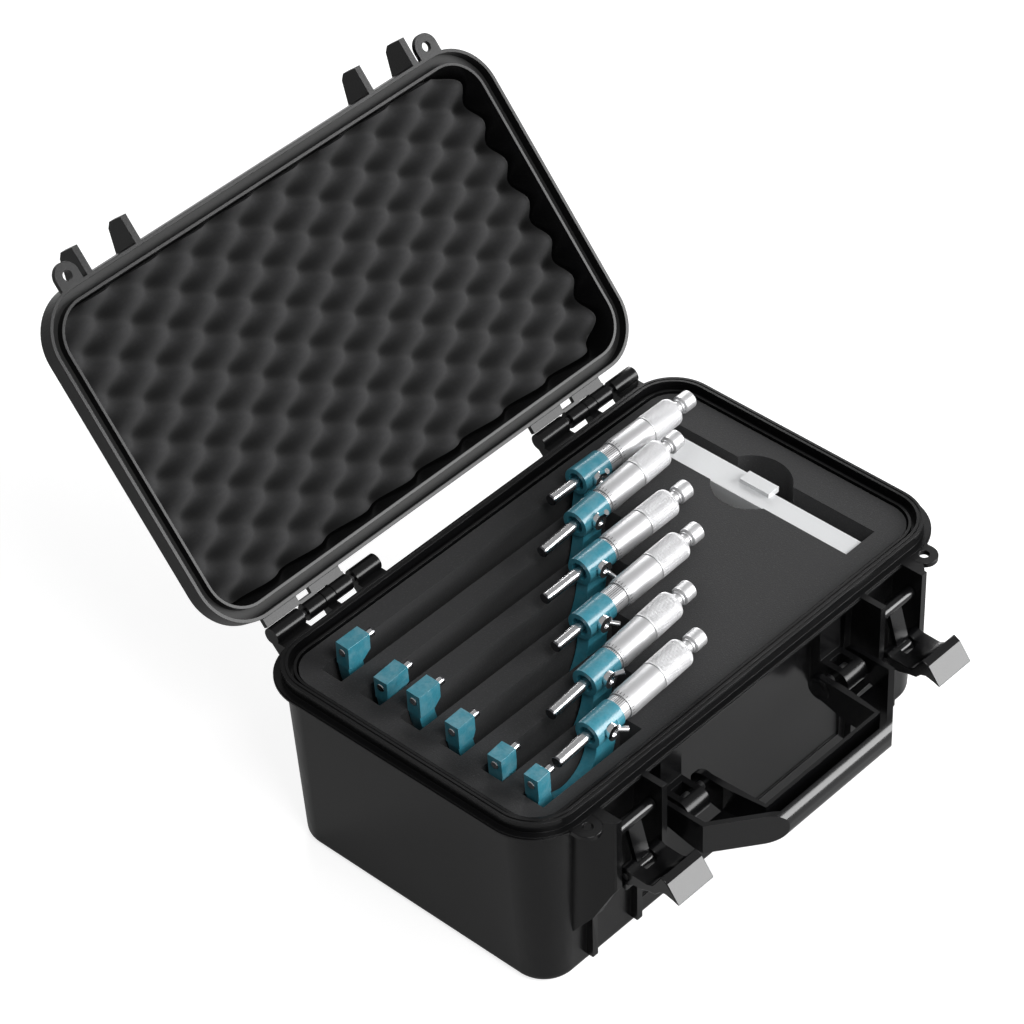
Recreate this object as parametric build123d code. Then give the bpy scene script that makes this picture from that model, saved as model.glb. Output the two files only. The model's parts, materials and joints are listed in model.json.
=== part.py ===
from build123d import *
import math
import os

# A hard-shell carrying case for a set of six outside micrometers.
# Frame: X runs along the hinge side, Y from the latch side to the hinge side, Z up.
# The origin is the centre of the footprint, on the surface the case stands on.
# All sizes are in millimetres. The lid is modelled shut and then turned open.

# Case plan and heights
CASE_LENGTH = 312.0        # rim line, along X
CASE_WIDTH = 185.0         # rim line, along Y
CORNER_RADIUS = 24.0       # of the rim line
RIM_HEIGHT = 118.0         # floor to the top of the sealing ridge
WALL = 3.0
FLOOR = 3.0
SIDE_DRAFT_TOP = -0.5      # wall inset from the rim line, under the flange
SIDE_DRAFT_FOOT = 5.3      # the same at the floor
FRONT_DRAFT_TOP = -1.5
FRONT_DRAFT_FOOT = 1.3
FOOT_FILLET = 5.0
ROOT = 2.0                 # how far an added feature runs into its wall

# Rim of the base, as insets from the rim line (negative is outside it)
RIDGE_OUT = -2.5
RIDGE_IN = 1.3
RIM_DROP = 6.0             # ridge top down to the flange top
FLANGE_OUT = -6.0
FLANGE_THICK = 3.0
BEAD_OUT = -6.6
BEAD_THICK = 1.2
BEAD_LIFT = 0.9            # above the flange's lower face
LIP_OUT = 4.0
LIP_IN = 5.5
LIP_DROP = 3.3
RIM_LINE_WIDTH = 0.8       # fine groove along the ridge
RIM_LINE_DEPTH = 0.5

# Recessed front panel between the latches
RECESS_HALF = 79.0
RECESS_DEPTH = 2.0
RECESS_FOOT = 14.0
RECESS_DROP = 12.0

# Lid
LID_GAP = 0.3              # flange top to the lid's lower edge
LID_DEPTH = 27.0
LID_SKIRT_OUT = -5.3
LID_SKIRT_IN = -3.3
LID_SKIRT_HEIGHT = 10.7
LID_SIDE = -0.3            # inset of the lid's wall above the skirt
LID_TOP_INSET = 2.2
LID_EDGE_FILLET = 9.0
LID_LIP_OUT = 2.1
LID_LIP_IN = 3.6
LID_LIP_LIFT = 1.2         # lower edge of the inner lip above the lid's lower edge
LID_ROOF = 2.0
GASKET_THICK = 3.0
GASKET_CLEAR = 0.3
LID_OPEN = 130.3           # degrees

# Hinges
HINGE_BEHIND = 15.3        # axis behind the rim line
HINGE_DROP = 4.2           # axis below the ridge top
KNUCKLE_R = 4.8
HINGE_PIN_R = 2.0
HINGE_PIN_COVER = 2.0      # closed ends of the outer knuckles
HINGE_LENGTH = 76.5
HINGE_LEFTS = [-136.5, 66.5]
KNUCKLE_GAP = 0.5
LEAF_THICK = 3.0
LEAF_WINDOW = 9.0
LEAF_BAR = 1.5             # left between the window and the knuckles
LEAF_LIFT = 0.3            # above the lid's lower edge
LEAF_CLEAR = 0.4           # to the knuckles
KNUCKLE_GUSSET = 16.0
# Knuckles along one hinge, from its left end: base, lid, base, lid, base
HINGE_FIRST = 20.5
HINGE_PIN_SHOWN = 3.5
HINGE_LID_KNUCKLE = 12.0
HINGE_MIDDLE = 6.6
HINGE_LAST = 17.5
LEAF_END = 55.0

# Latches
LATCH_X = 102.7            # latch centre from the middle of the case
PLATE_HALF_GAP = 15.0
PLATE_THICK = 3.9
PLATE_REACH = 20.0         # plate front, in front of the rim line
PLATE_FRONT_DROP = 52.0
PLATE_HEEL_REACH = 12.0
PLATE_HEEL_DROP = 20.0
PLATE_FOOT = 28.0
PILLAR_WIDE = 10.5
PILLAR_SETBACK = 1.5
PILLAR_SHOULDER = 5.6
PILLAR_SHOULDER_BACK = 6.5
PILLAR_HEEL_REACH = 8.0
RIB_FOOT = 7.0
RIB_TOP = 68.0
RIB_REACH = 3.5
PIVOT_PIN_COVER = 1.5      # plate left at the ends of the latch pin
PIVOT_REACH = 13.0
PIVOT_DROP = 20.5
PIVOT_PIN_R = 1.6
LINK_LENGTH = 26.6
LINK_WIDTH = 9.4
LINK_HALF_THICK = 1.5
LINK_EYE_R = 4.0
LINK_BARREL_R = 3.4
LINK_BARREL_LENGTH = 29.0
LINK_TILT = 16.4           # degrees that the hanging link leans forward
LINK_PIN_R = 2.0
LEVER_WIDTH = 26.6
LEVER_SLOT = 10.6
LEVER_BOSS_R = 5.5
NOSE_REACH = 9.5
# Side outline of the latch lever, as distances in front of its pin and above it
LEVER_OUTLINE = [
    (-1.5, 5.0), (4.5, 4.4), (14, 4.2), (17.5, 5.8), (23, 14.6), (27, 12.6), (34.6, 2.5),
    (30.5, 4.0), (25.5, 5.0), (22.3, 3.8), (19.5, 0.6), (14.5, -0.4), (9.4, -2.3), (4, -2.6),
    (0.6, -4.5), (0.6, -NOSE_REACH), (-2.6, 0.8 - NOSE_REACH), (-4.4, -4.5),
]
LEVER_SLOT_FRONT = 7.0
LEVER_TIP_FRONT = 31.5
LEVER_TIP_FLOOR = 2.2
LINK_SWEEP = 12.0          # room cut for the link, round the lever's pin
CATCH_REACH = 21.0
CATCH_HEIGHT = 24.0
CATCH_FRONT = 16.0
CATCH_CORNER_UP = 4.0
CATCH_CORNER_BACK = 3.0
CATCH_CREST = 4.0          # crest of the catch, in front of the rim line
CATCH_FALL = 1.5
FIT = 0.05                 # radial running clearance of pins

# Padlock ears
EAR_X = 131.7
EAR_REACH = 10.2
EAR_R = 7.5
EAR_HOLE_R = 2.75

# Handle
HANDLE_PIVOT_REACH = 12.0
HANDLE_PIVOT_DROP = 38.5
HANDLE_TOP_DROP = 31.3
HANDLE_HEIGHT = 18.7
HANDLE_PIN_R = 2.5
LUG_IN = 54.5
LUG_OUT = 70.5
LUG_FRONT = 11.0           # lug end in front of the pivot
LUG_HALF_HEIGHT = 7.0
LUG_WINDOW = 8.5
LUG_COLUMN = 4.2           # column above the lug, in front of the rim line
LUG_FILLET = 6.5
LUG_BACK = 9.0             # foot of the lug's front part, behind the pivot
LUG_GUSSET = 8.0
LUG_WINDOW_DEPTH = 11.0
ARM_IN = 45.0
ARM_IN_THICK = 3.2
ARM_OUT = 75.8
ARM_OUT_THICK = 3.0
ARM_END_R = 7.2
GRIP_INNER = 49.2
GRIP_OUTER = 62.8
GRIP_HALF = 40.5
ARM_CORNER = 36.3
HANDLE_INNER_HALF = 43.2
HANDLE_FLOOR = 3.0
PIVOT_BOSS_R = 6.6
PIVOT_BOSS_OUT = 1.4
BOSS_RING = [3.9, 4.9]     # radii of the fine ring cut in the boss
BOSS_RING_DEPTH = 0.5
HANDLE_PIN_COVER = 1.5     # plastic left outside each end of the handle's pin
GRIP_FLAT = 2.7            # flat left between the grip's two roundings
CHANNEL_IN = 2.0           # wall left behind the channel along the grip
CHANNEL_FRONT = 57.9       # channel's front edge along the grip, in front of the rim line
CHANNEL_FRONT_HALF = 42.0
CHANNEL_CORNER = 34.8      # channel's outer corner, in front of the rim line

# Foam
FOAM_CLEAR = 1.0
FOAM_DROP = 4.5            # ridge top down to the foam top
LID_FOAM_THICK = 15.0
LID_FOAM_INSET = 7.0
LID_FOAM_SEAT = 0.5        # foam edge from the lid's wall

# Micrometers. Each list has one value for each tool, from the smallest to the largest.
COUNT = 6
INCH = 25.4
AXIS_RISE = 6.5            # hub centre above the ridge top, when a tool stands level
MIC_OPENINGS = [3.6, 0.0, 8.0, 0.2, 0.4, 6.9]      # how far each is open beyond its shortest size
MIC_HUB_X = [-94.0, -66.8, -37.6, -6.6, 19.8, 47.0]
MIC_ASIDE = [2.2, 0.9, 2.2, 2.4, 1.6, -1.9]        # of the hub, from its slot's centre line
MIC_RISE = [0.4, 0.3, 0.9, 1.0, 0.6, -0.8]         # of the hub, from rocking in the slot
MIC_PITCH = [3.0, 3.2, 2.4, 1.4, 2.8, 0.2]         # degrees that the thimble end tips up
MIC_YAW = [1.2, 2.2, 0.3, -0.2, 1.3, -0.5]
MIC_BLOCK = [15.3, 17.2, 18.1, 20.8, 21.9, 21.6]   # back of the anvil block to the anvil face
MIC_LOCK_TURN = [-12.0, 18.0, -25.0, -60.0, 75.0, 80.0]
SLOT_WIDTH = 14.4
SLOT_Y = [-71.6, -44.5, -16.7, 10.9, 38.3, 65.1]
SLOT_LEFT = -137.0
SLOT_END_CLEAR = 10.0
SLOT_CLEAR = 0.3
FRAME_THICK = 7.5
FRAME_BAND = 12.0
LIMB_WIDE = 10.5
LIMB_FOOT = 9.0            # where the bow's curve starts, below the axis
HUB_FRONT_STEP = 2.0       # hub's end in front of the bow
HUB_BACK_STEP = 3.0
THROAT_FIRST = 25.0
THROAT_STEP = 11.8
BLOCK_RISE = 5.0
BLOCK_THICK = 9.0
ANVIL_R = 2.3
ANVIL_REACH = 6.0
ANVIL_TAIL = 0.4           # of the anvil, out of the back of its block
SPINDLE_R = 3.1
SPINDLE_TAIL_R = 2.5
TURN_GAP = 0.3             # end play between turning pieces
SPINDLE_REACH = 27.0       # spindle out of the hub at the shortest size
HUB_R = 7.8
HUB_LENGTH = 20.0
HUB_BORE_R = 5.0
HUB_BORE_DEPTH = 3.0
SEAT_DEPTH = 5.0
SLEEVE_R = 6.9
SLEEVE_BORE_R = 5.2
SLEEVE_SHOWN = 2.0         # sleeve in front of the thimble at the shortest size
TRAVEL = 25.4
SLEEVE_HELD = 10.0
THIMBLE_R = 7.9
THIMBLE_BORE_R = 7.2
THIMBLE_EDGE = 0.5
THIMBLE_SMOOTH = 26.0
KNURL_LENGTH = 22.5
KNURL_R = 8.1
KNURL_END_FILLET = 2.5
THIMBLE_CAP = 6.0
RATCHET_STUB = 2.5
RATCHET_NECK_R = 3.5
RATCHET_NECK = 5.2
RATCHET_R = 5.25
RATCHET_KNOB = 8.6
RATCHET_GAP = 0.2
RATCHET_EDGE = 0.8
LOCK_PLACE = 9.6           # lock axis from the hub's left end
LOCK_SHAFT_R = 2.0
LOCK_HEAD_R = 4.6
LOCK_HEAD = 2.8
LOCK_FLAT = 0.9            # depth of the flat under the head
LOCK_HEAD_CLEAR = 0.4
LOCK_HOLE_R = 2.1
LOCK_HOLE = 0.8
LOCK_ARM_R = 1.6
LOCK_ARM = 6.0
LOCK_ARM_LEAN = 42.0       # degrees that the arm leans out of the head's plane

# Accessory box and its pocket
POCKET_X = [103.9, 127.3]
POCKET_Y = [-73.3, 72.5]
POCKET_DEPTH = 62.0
FINGER_X = 116.2
FINGER_Y = 0.5
FINGER_R = 22.0
FINGER_DEPTH = 40.0
BOX_THICK = 13.4
BOX_WALL = 1.4
BOX_END_CLEAR = 0.8
BOX_CAP_HEIGHT = 14.0
BOX_CAP_WIDE = 17.6
BOX_TOP_DROP = 1.2
BOX_STEP_Y = -0.5          # where the cap's wide half starts
CLIP_Y = -3.6
CLIP_HALF = 10.0
CLIP_X = [113.0, 121.5]
CLIP_RISE = 2.6
CAP_GAP = 0.2

# Heights worked out from the sizes above
FLANGE_TOP = RIM_HEIGHT - RIM_DROP
FLANGE_FOOT = FLANGE_TOP - FLANGE_THICK
LID_FOOT = FLANGE_TOP + LID_GAP
LID_TOP = LID_FOOT + LID_DEPTH
LID_CEILING = LID_TOP - LID_ROOF
FRONT = -CASE_WIDTH / 2
REAR = CASE_WIDTH / 2
HINGE_Y = REAR + HINGE_BEHIND
HINGE_Z = RIM_HEIGHT - HINGE_DROP
FOAM_TOP = RIM_HEIGHT - FOAM_DROP
PIVOT_Y = FRONT - PIVOT_REACH
PIVOT_Z = RIM_HEIGHT - PIVOT_DROP
LINK_Y = PIVOT_Y - LINK_LENGTH * math.sin(math.radians(LINK_TILT))
LINK_Z = PIVOT_Z - LINK_LENGTH * math.cos(math.radians(LINK_TILT))
HANDLE_Y = FRONT - HANDLE_PIVOT_REACH
HANDLE_Z = RIM_HEIGHT - HANDLE_PIVOT_DROP
HANDLE_TOP = RIM_HEIGHT - HANDLE_TOP_DROP
HANDLE_FOOT = HANDLE_TOP - HANDLE_HEIGHT
PANEL_Y = FRONT + RECESS_DEPTH
PLATE_IN = PLATE_HALF_GAP
PLATE_OUT = PLATE_HALF_GAP + PLATE_THICK
MIC_HUB_Y = [slot + aside for slot, aside in zip(SLOT_Y, MIC_ASIDE)]


def block(x0, x1, y0, y1, z0, z1):
    """Box between two corners."""
    middle = Pos((x0 + x1) / 2, (y0 + y1) / 2, (z0 + z1) / 2)
    return middle * Box(abs(x1 - x0), abs(y1 - y0), abs(z1 - z0))


def rod_x(radius, x0, x1, y, z):
    """Cylinder along X."""
    return Pos((x0 + x1) / 2, y, z) * Rot(0, 90, 0) * Cylinder(radius, abs(x1 - x0))


def rod_y(radius, x, y0, y1, z):
    """Cylinder along Y."""
    return Pos(x, (y0 + y1) / 2, z) * Rot(90, 0, 0) * Cylinder(radius, abs(y1 - y0))


def rod_z(radius, x, y, z0, z1):
    """Cylinder along Z."""
    return Pos(x, y, (z0 + z1) / 2) * Cylinder(radius, abs(z1 - z0))


def side_plate(points, x0, x1, rounding=0):
    """Plate across X whose outline is a list of (y, z) points."""
    outline = make_face(Polyline(*points, close=True))
    if rounding:
        outline = fillet(outline.vertices(), rounding)
    return extrude(Plane.YZ.offset(min(x0, x1)) * outline, abs(x1 - x0))


def plan(inset, z):
    """Rim outline, moved inwards by inset, at height z."""
    corner = max(CORNER_RADIUS - inset, 2)
    size = RectangleRounded(CASE_LENGTH - 2 * inset, CASE_WIDTH - 2 * inset, corner)
    return Plane.XY.offset(z) * size


def slab(inset, z0, z1):
    """Solid plate with the rim outline."""
    return extrude(plan(inset, z0), z1 - z0)


def band(outer, inner, z0, z1):
    """Ring between two insets of the rim outline."""
    return slab(outer, z0, z1) - slab(inner, z0 - 1, z1 + 1)


def tapered(side0, front0, z0, side1, front1, z1):
    """Solid between two outlines; the front wall has an inset of its own."""
    ends = []
    for side, front, z in ((side0, front0, z0), (side1, front1, z1)):
        corner = CORNER_RADIUS - max(side, front, 0)
        size = RectangleRounded(CASE_LENGTH - 2 * side, CASE_WIDTH - side - front, corner)
        ends.append(Pos(0, (front - side) / 2, z) * size)
    return loft([ends[0].face(), ends[1].face()])


def base_walls():
    """Tub with its rim, flange and front recess."""
    tub = tapered(SIDE_DRAFT_FOOT, FRONT_DRAFT_FOOT, 0, SIDE_DRAFT_TOP, FRONT_DRAFT_TOP, FLANGE_TOP)
    tub = fillet(tub.edges().group_by(Axis.Z)[0], FOOT_FILLET)
    tub += slab(FLANGE_OUT, FLANGE_FOOT, FLANGE_TOP)
    tub += band(BEAD_OUT, 0, FLANGE_FOOT + BEAD_LIFT, FLANGE_FOOT + BEAD_LIFT + BEAD_THICK)
    recess_top = RIM_HEIGHT - RECESS_DROP
    tub -= block(-RECESS_HALF, RECESS_HALF, FRONT + FLANGE_OUT - 1, PANEL_Y, RECESS_FOOT, recess_top)
    tub += band(RIDGE_OUT, RIDGE_IN, FLANGE_TOP, RIM_HEIGHT)
    tub += band(LIP_OUT, LIP_IN, FLANGE_TOP, RIM_HEIGHT - LIP_DROP)
    line = (RIDGE_OUT + RIDGE_IN) / 2
    line_out = line - RIM_LINE_WIDTH / 2
    line_in = line + RIM_LINE_WIDTH / 2
    tub -= band(line_out, line_in, RIM_HEIGHT - RIM_LINE_DEPTH, RIM_HEIGHT + 1)
    return tub - cavity(0)


def cavity(clear):
    """Room inside the base, or the block of foam that fills it."""
    top = LIP_IN + clear
    foot = SIDE_DRAFT_FOOT + WALL + clear
    z1 = FOAM_TOP if clear else RIM_HEIGHT + 1
    return tapered(foot, foot, FLOOR, top, top, z1)


def latch_plates(side):
    """Pair of plates that carry one latch, with the ribs and the pillar below them."""
    wall = FRONT + ROOT
    front = FRONT - PLATE_REACH
    heel = RIM_HEIGHT - PLATE_FRONT_DROP
    middle = side * LATCH_X
    outline = [
        (wall, FLANGE_TOP),
        (front, FLANGE_TOP),
        (front, heel),
        (front + PLATE_HEEL_REACH, heel - PLATE_HEEL_DROP),
        (wall, PLATE_FOOT),
    ]
    plates = side_plate(outline, middle - PLATE_OUT, middle - PLATE_IN)
    plates += side_plate(outline, middle + PLATE_IN, middle + PLATE_OUT)
    for x in (middle - PLATE_OUT, middle + PLATE_IN):
        plates += block(x, x + PLATE_THICK, wall, FRONT - RIB_REACH, RIB_FOOT, RIB_TOP)
    plates += pillar(middle + side * PLATE_OUT, side)
    end = PLATE_OUT - PIVOT_PIN_COVER
    return plates - rod_x(PIVOT_PIN_R + FIT, middle - end, middle + end, PIVOT_Y, PIVOT_Z)


def pillar(x, side):
    """Rounded column on the outer plate of a latch."""
    wall = FRONT + ROOT
    front = FRONT - PLATE_REACH + PILLAR_SETBACK
    far = x + side * PILLAR_WIDE
    curve = ThreePointArc((x, front), (x + side * PILLAR_SHOULDER, front + PILLAR_SHOULDER_BACK), (far, wall))
    section = make_face([curve, Line((far, wall), (x, wall)), Line((x, wall), (x, front))])
    column = extrude(Plane.XY.offset(PLATE_FOOT) * section, FLANGE_TOP - PLATE_FOOT)
    heel = RIM_HEIGHT - PLATE_FRONT_DROP
    under = [
        (wall + 1, PLATE_FOOT - 1),
        (front - 1, PLATE_FOOT - 1),
        (front - 1, heel),
        (front + PILLAR_HEEL_REACH, heel - PLATE_HEEL_DROP),
        (wall + 1, PLATE_FOOT),
    ]
    return column - side_plate(under, x - PILLAR_WIDE - 1, x + PILLAR_WIDE + 1)


def handle_lug(side):
    """Block on the front panel that the handle turns on, with its window."""
    outline = [
        (PANEL_Y + 1, HANDLE_Z + LUG_HALF_HEIGHT),
        (HANDLE_Y - LUG_FRONT, HANDLE_Z + LUG_HALF_HEIGHT),
        (HANDLE_Y - LUG_FRONT, HANDLE_Z - LUG_HALF_HEIGHT),
        (HANDLE_Y + LUG_BACK, HANDLE_Z - LUG_HALF_HEIGHT),
        (PANEL_Y + 1, HANDLE_Z - LUG_HALF_HEIGHT - LUG_GUSSET),
    ]
    lug = side_plate(outline, side * LUG_IN, side * LUG_OUT)
    front_edges = lug.edges().filter_by(Axis.X).group_by(Axis.Y)[0]
    lug = fillet(front_edges, LUG_FILLET)
    middle = side * (LUG_IN + LUG_OUT) / 2
    half = LUG_WINDOW / 2
    top = HANDLE_Z + LUG_HALF_HEIGHT
    foot = top - LUG_WINDOW_DEPTH
    lug -= block(middle - half, middle + half, HANDLE_Y - half, HANDLE_Y + half, foot, top + 1)
    lug += block(side * LUG_IN, side * LUG_OUT, PANEL_Y + 1, FRONT - LUG_COLUMN, HANDLE_Z, FLANGE_FOOT)
    return lug - rod_x(HANDLE_PIN_R + FIT, side * (LUG_IN - 1), side * (LUG_OUT + 1), HANDLE_Y, HANDLE_Z)


def ear(x, z0, z1):
    """Padlock ear without its hole."""
    y = FRONT - EAR_REACH
    return rod_z(EAR_R, x, y, z0, z1) + block(x - EAR_R, x + EAR_R, y, FRONT + LID_SIDE, z0, z1)


def ear_hole(x, z0, z1):
    """Hole of a padlock ear, cut past both faces."""
    return rod_z(EAR_HOLE_R, x, FRONT - EAR_REACH, z0 - 1, z1 + 1)


def make_padlock_ears():
    """The two padlock ears of the base."""
    walls = base_walls()
    ears = []
    for side in (-1, 1):
        tab = ear(side * EAR_X, FLANGE_FOOT, FLANGE_TOP) - walls
        ears.append((tab - ear_hole(side * EAR_X, FLANGE_FOOT, FLANGE_TOP)).solid())
    return Compound(children=ears)


def hinge_spans(left):
    """Ends along X of the base knuckles and of the lid knuckles of one hinge."""
    first = left + HINGE_FIRST
    lid_a = first + HINGE_PIN_SHOWN
    middle = lid_a + HINGE_LID_KNUCKLE + KNUCKLE_GAP
    lid_b = middle + HINGE_MIDDLE + KNUCKLE_GAP
    last = left + HINGE_LENGTH - HINGE_LAST
    base = [(left, first), (middle, middle + HINGE_MIDDLE), (last, left + HINGE_LENGTH)]
    lid = [(lid_a, lid_a + HINGE_LID_KNUCKLE), (lid_b, lid_b + HINGE_LID_KNUCKLE)]
    return base, lid


def base_knuckles(left):
    """Base side of one hinge."""
    base, lid = hinge_spans(left)
    solid = None
    gusset = [(REAR, FLANGE_FOOT), (HINGE_Y, FLANGE_FOOT), (REAR, FLANGE_FOOT - KNUCKLE_GUSSET)]
    for x0, x1 in base:
        knuckle = rod_x(KNUCKLE_R, x0, x1, HINGE_Y, HINGE_Z)
        knuckle += block(x0, x1, REAR, HINGE_Y, FLANGE_FOOT, FLANGE_TOP)
        knuckle += side_plate(gusset, x0, x1)
        solid = knuckle if solid is None else solid + knuckle
    return solid - hinge_pin(left, HINGE_PIN_R)


def hinge_pin(left, radius):
    """Pin of one hinge, or the hole for it."""
    cover = HINGE_PIN_COVER
    return rod_x(radius, left + cover, left + HINGE_LENGTH - cover, HINGE_Y, HINGE_Z)


def lid_knuckles(left):
    """Lid side of one hinge: the leaf with its window, and two knuckles."""
    base, lid = hinge_spans(left)
    edge = REAR - LID_SKIRT_OUT
    z0 = LID_FOOT + LEAF_LIFT
    leaf_back = HINGE_Y - KNUCKLE_R - LEAF_CLEAR
    leaf = block(left, left + LEAF_END, edge - ROOT + 0.1, leaf_back, z0, z0 + LEAF_THICK)
    for x0, x1 in lid:
        leaf += block(x0, x1, leaf_back - 1, HINGE_Y, z0, z0 + LEAF_THICK)
        leaf += rod_x(KNUCKLE_R, x0, x1, HINGE_Y, HINGE_Z)
    window = left + HINGE_FIRST + HINGE_PIN_SHOWN
    leaf -= block(window, window + LEAF_WINDOW, edge, leaf_back - LEAF_BAR, z0 - 1, z0 + LEAF_THICK + 1)
    return leaf - hinge_pin(left, HINGE_PIN_R + FIT)


def make_base_shell():
    """Base of the case with everything moulded onto it."""
    shell = base_walls()
    for side in (-1, 1):
        tab = ear(side * EAR_X, FLANGE_FOOT, FLANGE_TOP) - base_walls()
        shell += latch_plates(side) - tab + handle_lug(side)
    for left in HINGE_LEFTS:
        shell += base_knuckles(left)
    return shell - cavity(0)


def make_lid_shell():
    """Lid in its shut place."""
    skirt_top = LID_FOOT + LID_SKIRT_HEIGHT
    dome = tapered(LID_SIDE, LID_SIDE, skirt_top - 1, LID_TOP_INSET, LID_TOP_INSET, LID_TOP)
    dome = fillet(dome.edges().group_by(Axis.Z)[-1], LID_EDGE_FILLET)
    lid = slab(LID_SKIRT_OUT, LID_FOOT, skirt_top) + dome
    for side in (-1, 1):
        lid += lid_catch(side)
        ear_top = LID_FOOT + FLANGE_THICK
        lid += ear(side * EAR_X, LID_FOOT, ear_top)
        lid -= ear_hole(side * EAR_X, LID_FOOT, ear_top)
    for left in HINGE_LEFTS:
        lid += lid_knuckles(left)
    channel_top = RIM_HEIGHT + GASKET_CLEAR + GASKET_THICK
    lid -= band(LID_SKIRT_IN, LID_LIP_OUT, LID_FOOT - 1, channel_top)
    lid -= slab(LID_LIP_OUT - 0.1, LID_FOOT - 1, LID_FOOT + LID_LIP_LIFT)
    foam_seat = LID_FOAM_INSET - LID_FOAM_SEAT
    return lid - tapered(LID_LIP_IN, LID_LIP_IN, LID_FOOT - 1, foam_seat, foam_seat, LID_CEILING)


def lid_catch(side):
    """Two plates that guard one latch on the lid."""
    middle = side * LATCH_X
    wall = FRONT + ROOT + LID_SIDE
    front = FRONT - CATCH_REACH
    top = LID_FOOT + CATCH_HEIGHT
    outline = [
        (wall, LID_FOOT),
        (front, LID_FOOT),
        (front, LID_FOOT + CATCH_FRONT - CATCH_CORNER_UP),
        (front + CATCH_CORNER_BACK, LID_FOOT + CATCH_FRONT),
        (FRONT - CATCH_CREST, top - CATCH_FALL),
        (wall, top - 2 * CATCH_FALL),
    ]
    plates = side_plate(outline, middle - PLATE_OUT, middle - PLATE_IN)
    return plates + side_plate(outline, middle + PLATE_IN, middle + PLATE_OUT)


def make_lid_gasket():
    """Seal in the lid's channel, above the ridge."""
    z0 = RIM_HEIGHT + GASKET_CLEAR
    return band(LID_SKIRT_IN, LID_LIP_OUT, z0, z0 + GASKET_THICK)


def make_lid_foam():
    """Pad that fills the lid and presses on the tools."""
    return slab(LID_FOAM_INSET, LID_CEILING - LID_FOAM_THICK, LID_CEILING)


def opened(solid):
    """Turns a shut-lid solid about the hinge to the open place."""
    axis = Axis((0, HINGE_Y, HINGE_Z), (1, 0, 0))
    return solid.rotate(axis, -LID_OPEN)


def lever_point(forward, up):
    """Point of the latch lever, from its pin."""
    return (LINK_Y - forward, LINK_Z + up)


def make_lever(side):
    """Latch lever: a flat arm, a finger lip at its end and a hooked nose."""
    middle = side * LATCH_X
    half = LEVER_WIDTH / 2
    slot = LEVER_SLOT / 2
    arm = side_plate([lever_point(f, u) for f, u in LEVER_OUTLINE], middle - half, middle + half)
    arm += rod_x(LEVER_BOSS_R, middle - half, middle + half, LINK_Y, LINK_Z)
    y0, z0 = lever_point(LEVER_SLOT_FRONT, LINK_SWEEP)
    y1, z1 = lever_point(-LINK_SWEEP, -LINK_SWEEP)
    arm -= block(middle - slot, middle + slot, y0, y1, z1, z0)
    y0, z2 = lever_point(LEVER_TIP_FRONT, LEVER_TIP_FLOOR)
    arm -= block(middle - slot, middle + slot, y0, y1, z1, z2)
    return arm - rod_x(LINK_PIN_R, middle - half - 1, middle + half + 1, LINK_Y, LINK_Z)


def make_link(side):
    """Strap between the case's pin and the lever's pin."""
    middle = side * LATCH_X
    half = LINK_WIDTH / 2
    strap = Pos(middle, 0, 0) * Box(LINK_WIDTH, 2 * LINK_HALF_THICK, LINK_LENGTH)
    strap = Pos(0, (PIVOT_Y + LINK_Y) / 2, (PIVOT_Z + LINK_Z) / 2) * Rot(-LINK_TILT, 0, 0) * strap
    barrel = LINK_BARREL_LENGTH / 2
    strap += rod_x(LINK_BARREL_R, middle - barrel, middle + barrel, PIVOT_Y, PIVOT_Z)
    strap += rod_x(LINK_EYE_R, middle - half, middle + half, LINK_Y, LINK_Z)
    strap -= rod_x(PIVOT_PIN_R + FIT, middle - barrel - 1, middle + barrel + 1, PIVOT_Y, PIVOT_Z)
    return strap - rod_x(LINK_PIN_R + FIT, middle - half - 1, middle + half + 1, LINK_Y, LINK_Z)


def make_link_pin(side):
    """Pin of one latch lever."""
    middle = side * LATCH_X
    half = LEVER_WIDTH / 2
    return rod_x(LINK_PIN_R, middle - half, middle + half, LINK_Y, LINK_Z)


def handle_ring(points, z0, height):
    """Flat piece from one half of its outline, given from the middle line outwards."""
    outline = points + [(-x, y) for x, y in reversed(points)]
    return extrude(Plane.XY.offset(z0) * make_face(Polyline(*outline, close=True)), height)


def make_handle():
    """Folding handle: two arms and a rounded grip, with a channel along its top."""
    rear = HANDLE_Y + ARM_END_R
    solid = handle_ring([
        (GRIP_HALF, FRONT - GRIP_OUTER),
        (ARM_OUT, FRONT - ARM_CORNER),
        (ARM_OUT, rear),
        (ARM_IN, rear),
        (HANDLE_INNER_HALF, FRONT - GRIP_INNER),
    ], HANDLE_FOOT, HANDLE_HEIGHT)
    grip_edges = solid.edges().filter_by(Axis.X).group_by(Axis.Y)[0]
    solid = fillet(grip_edges, (HANDLE_HEIGHT - GRIP_FLAT) / 2)
    inside = ARM_IN + ARM_IN_THICK
    outside = ARM_OUT - ARM_OUT_THICK
    solid -= handle_ring([
        (CHANNEL_FRONT_HALF, FRONT - CHANNEL_FRONT),
        (outside, FRONT - CHANNEL_CORNER),
        (outside, lug_swing()),
        (inside, lug_swing()),
        (HANDLE_INNER_HALF + CHANNEL_IN, FRONT - GRIP_INNER - CHANNEL_IN),
    ], HANDLE_FOOT + HANDLE_FLOOR, HANDLE_HEIGHT)
    for side in (-1, 1):
        solid = shaped_arm(solid, side)
    return solid


def lug_swing():
    """Front end of the room that the lug needs between an arm's walls."""
    return HANDLE_Y - math.hypot(LUG_FRONT, LUG_HALF_HEIGHT) - 1


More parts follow.
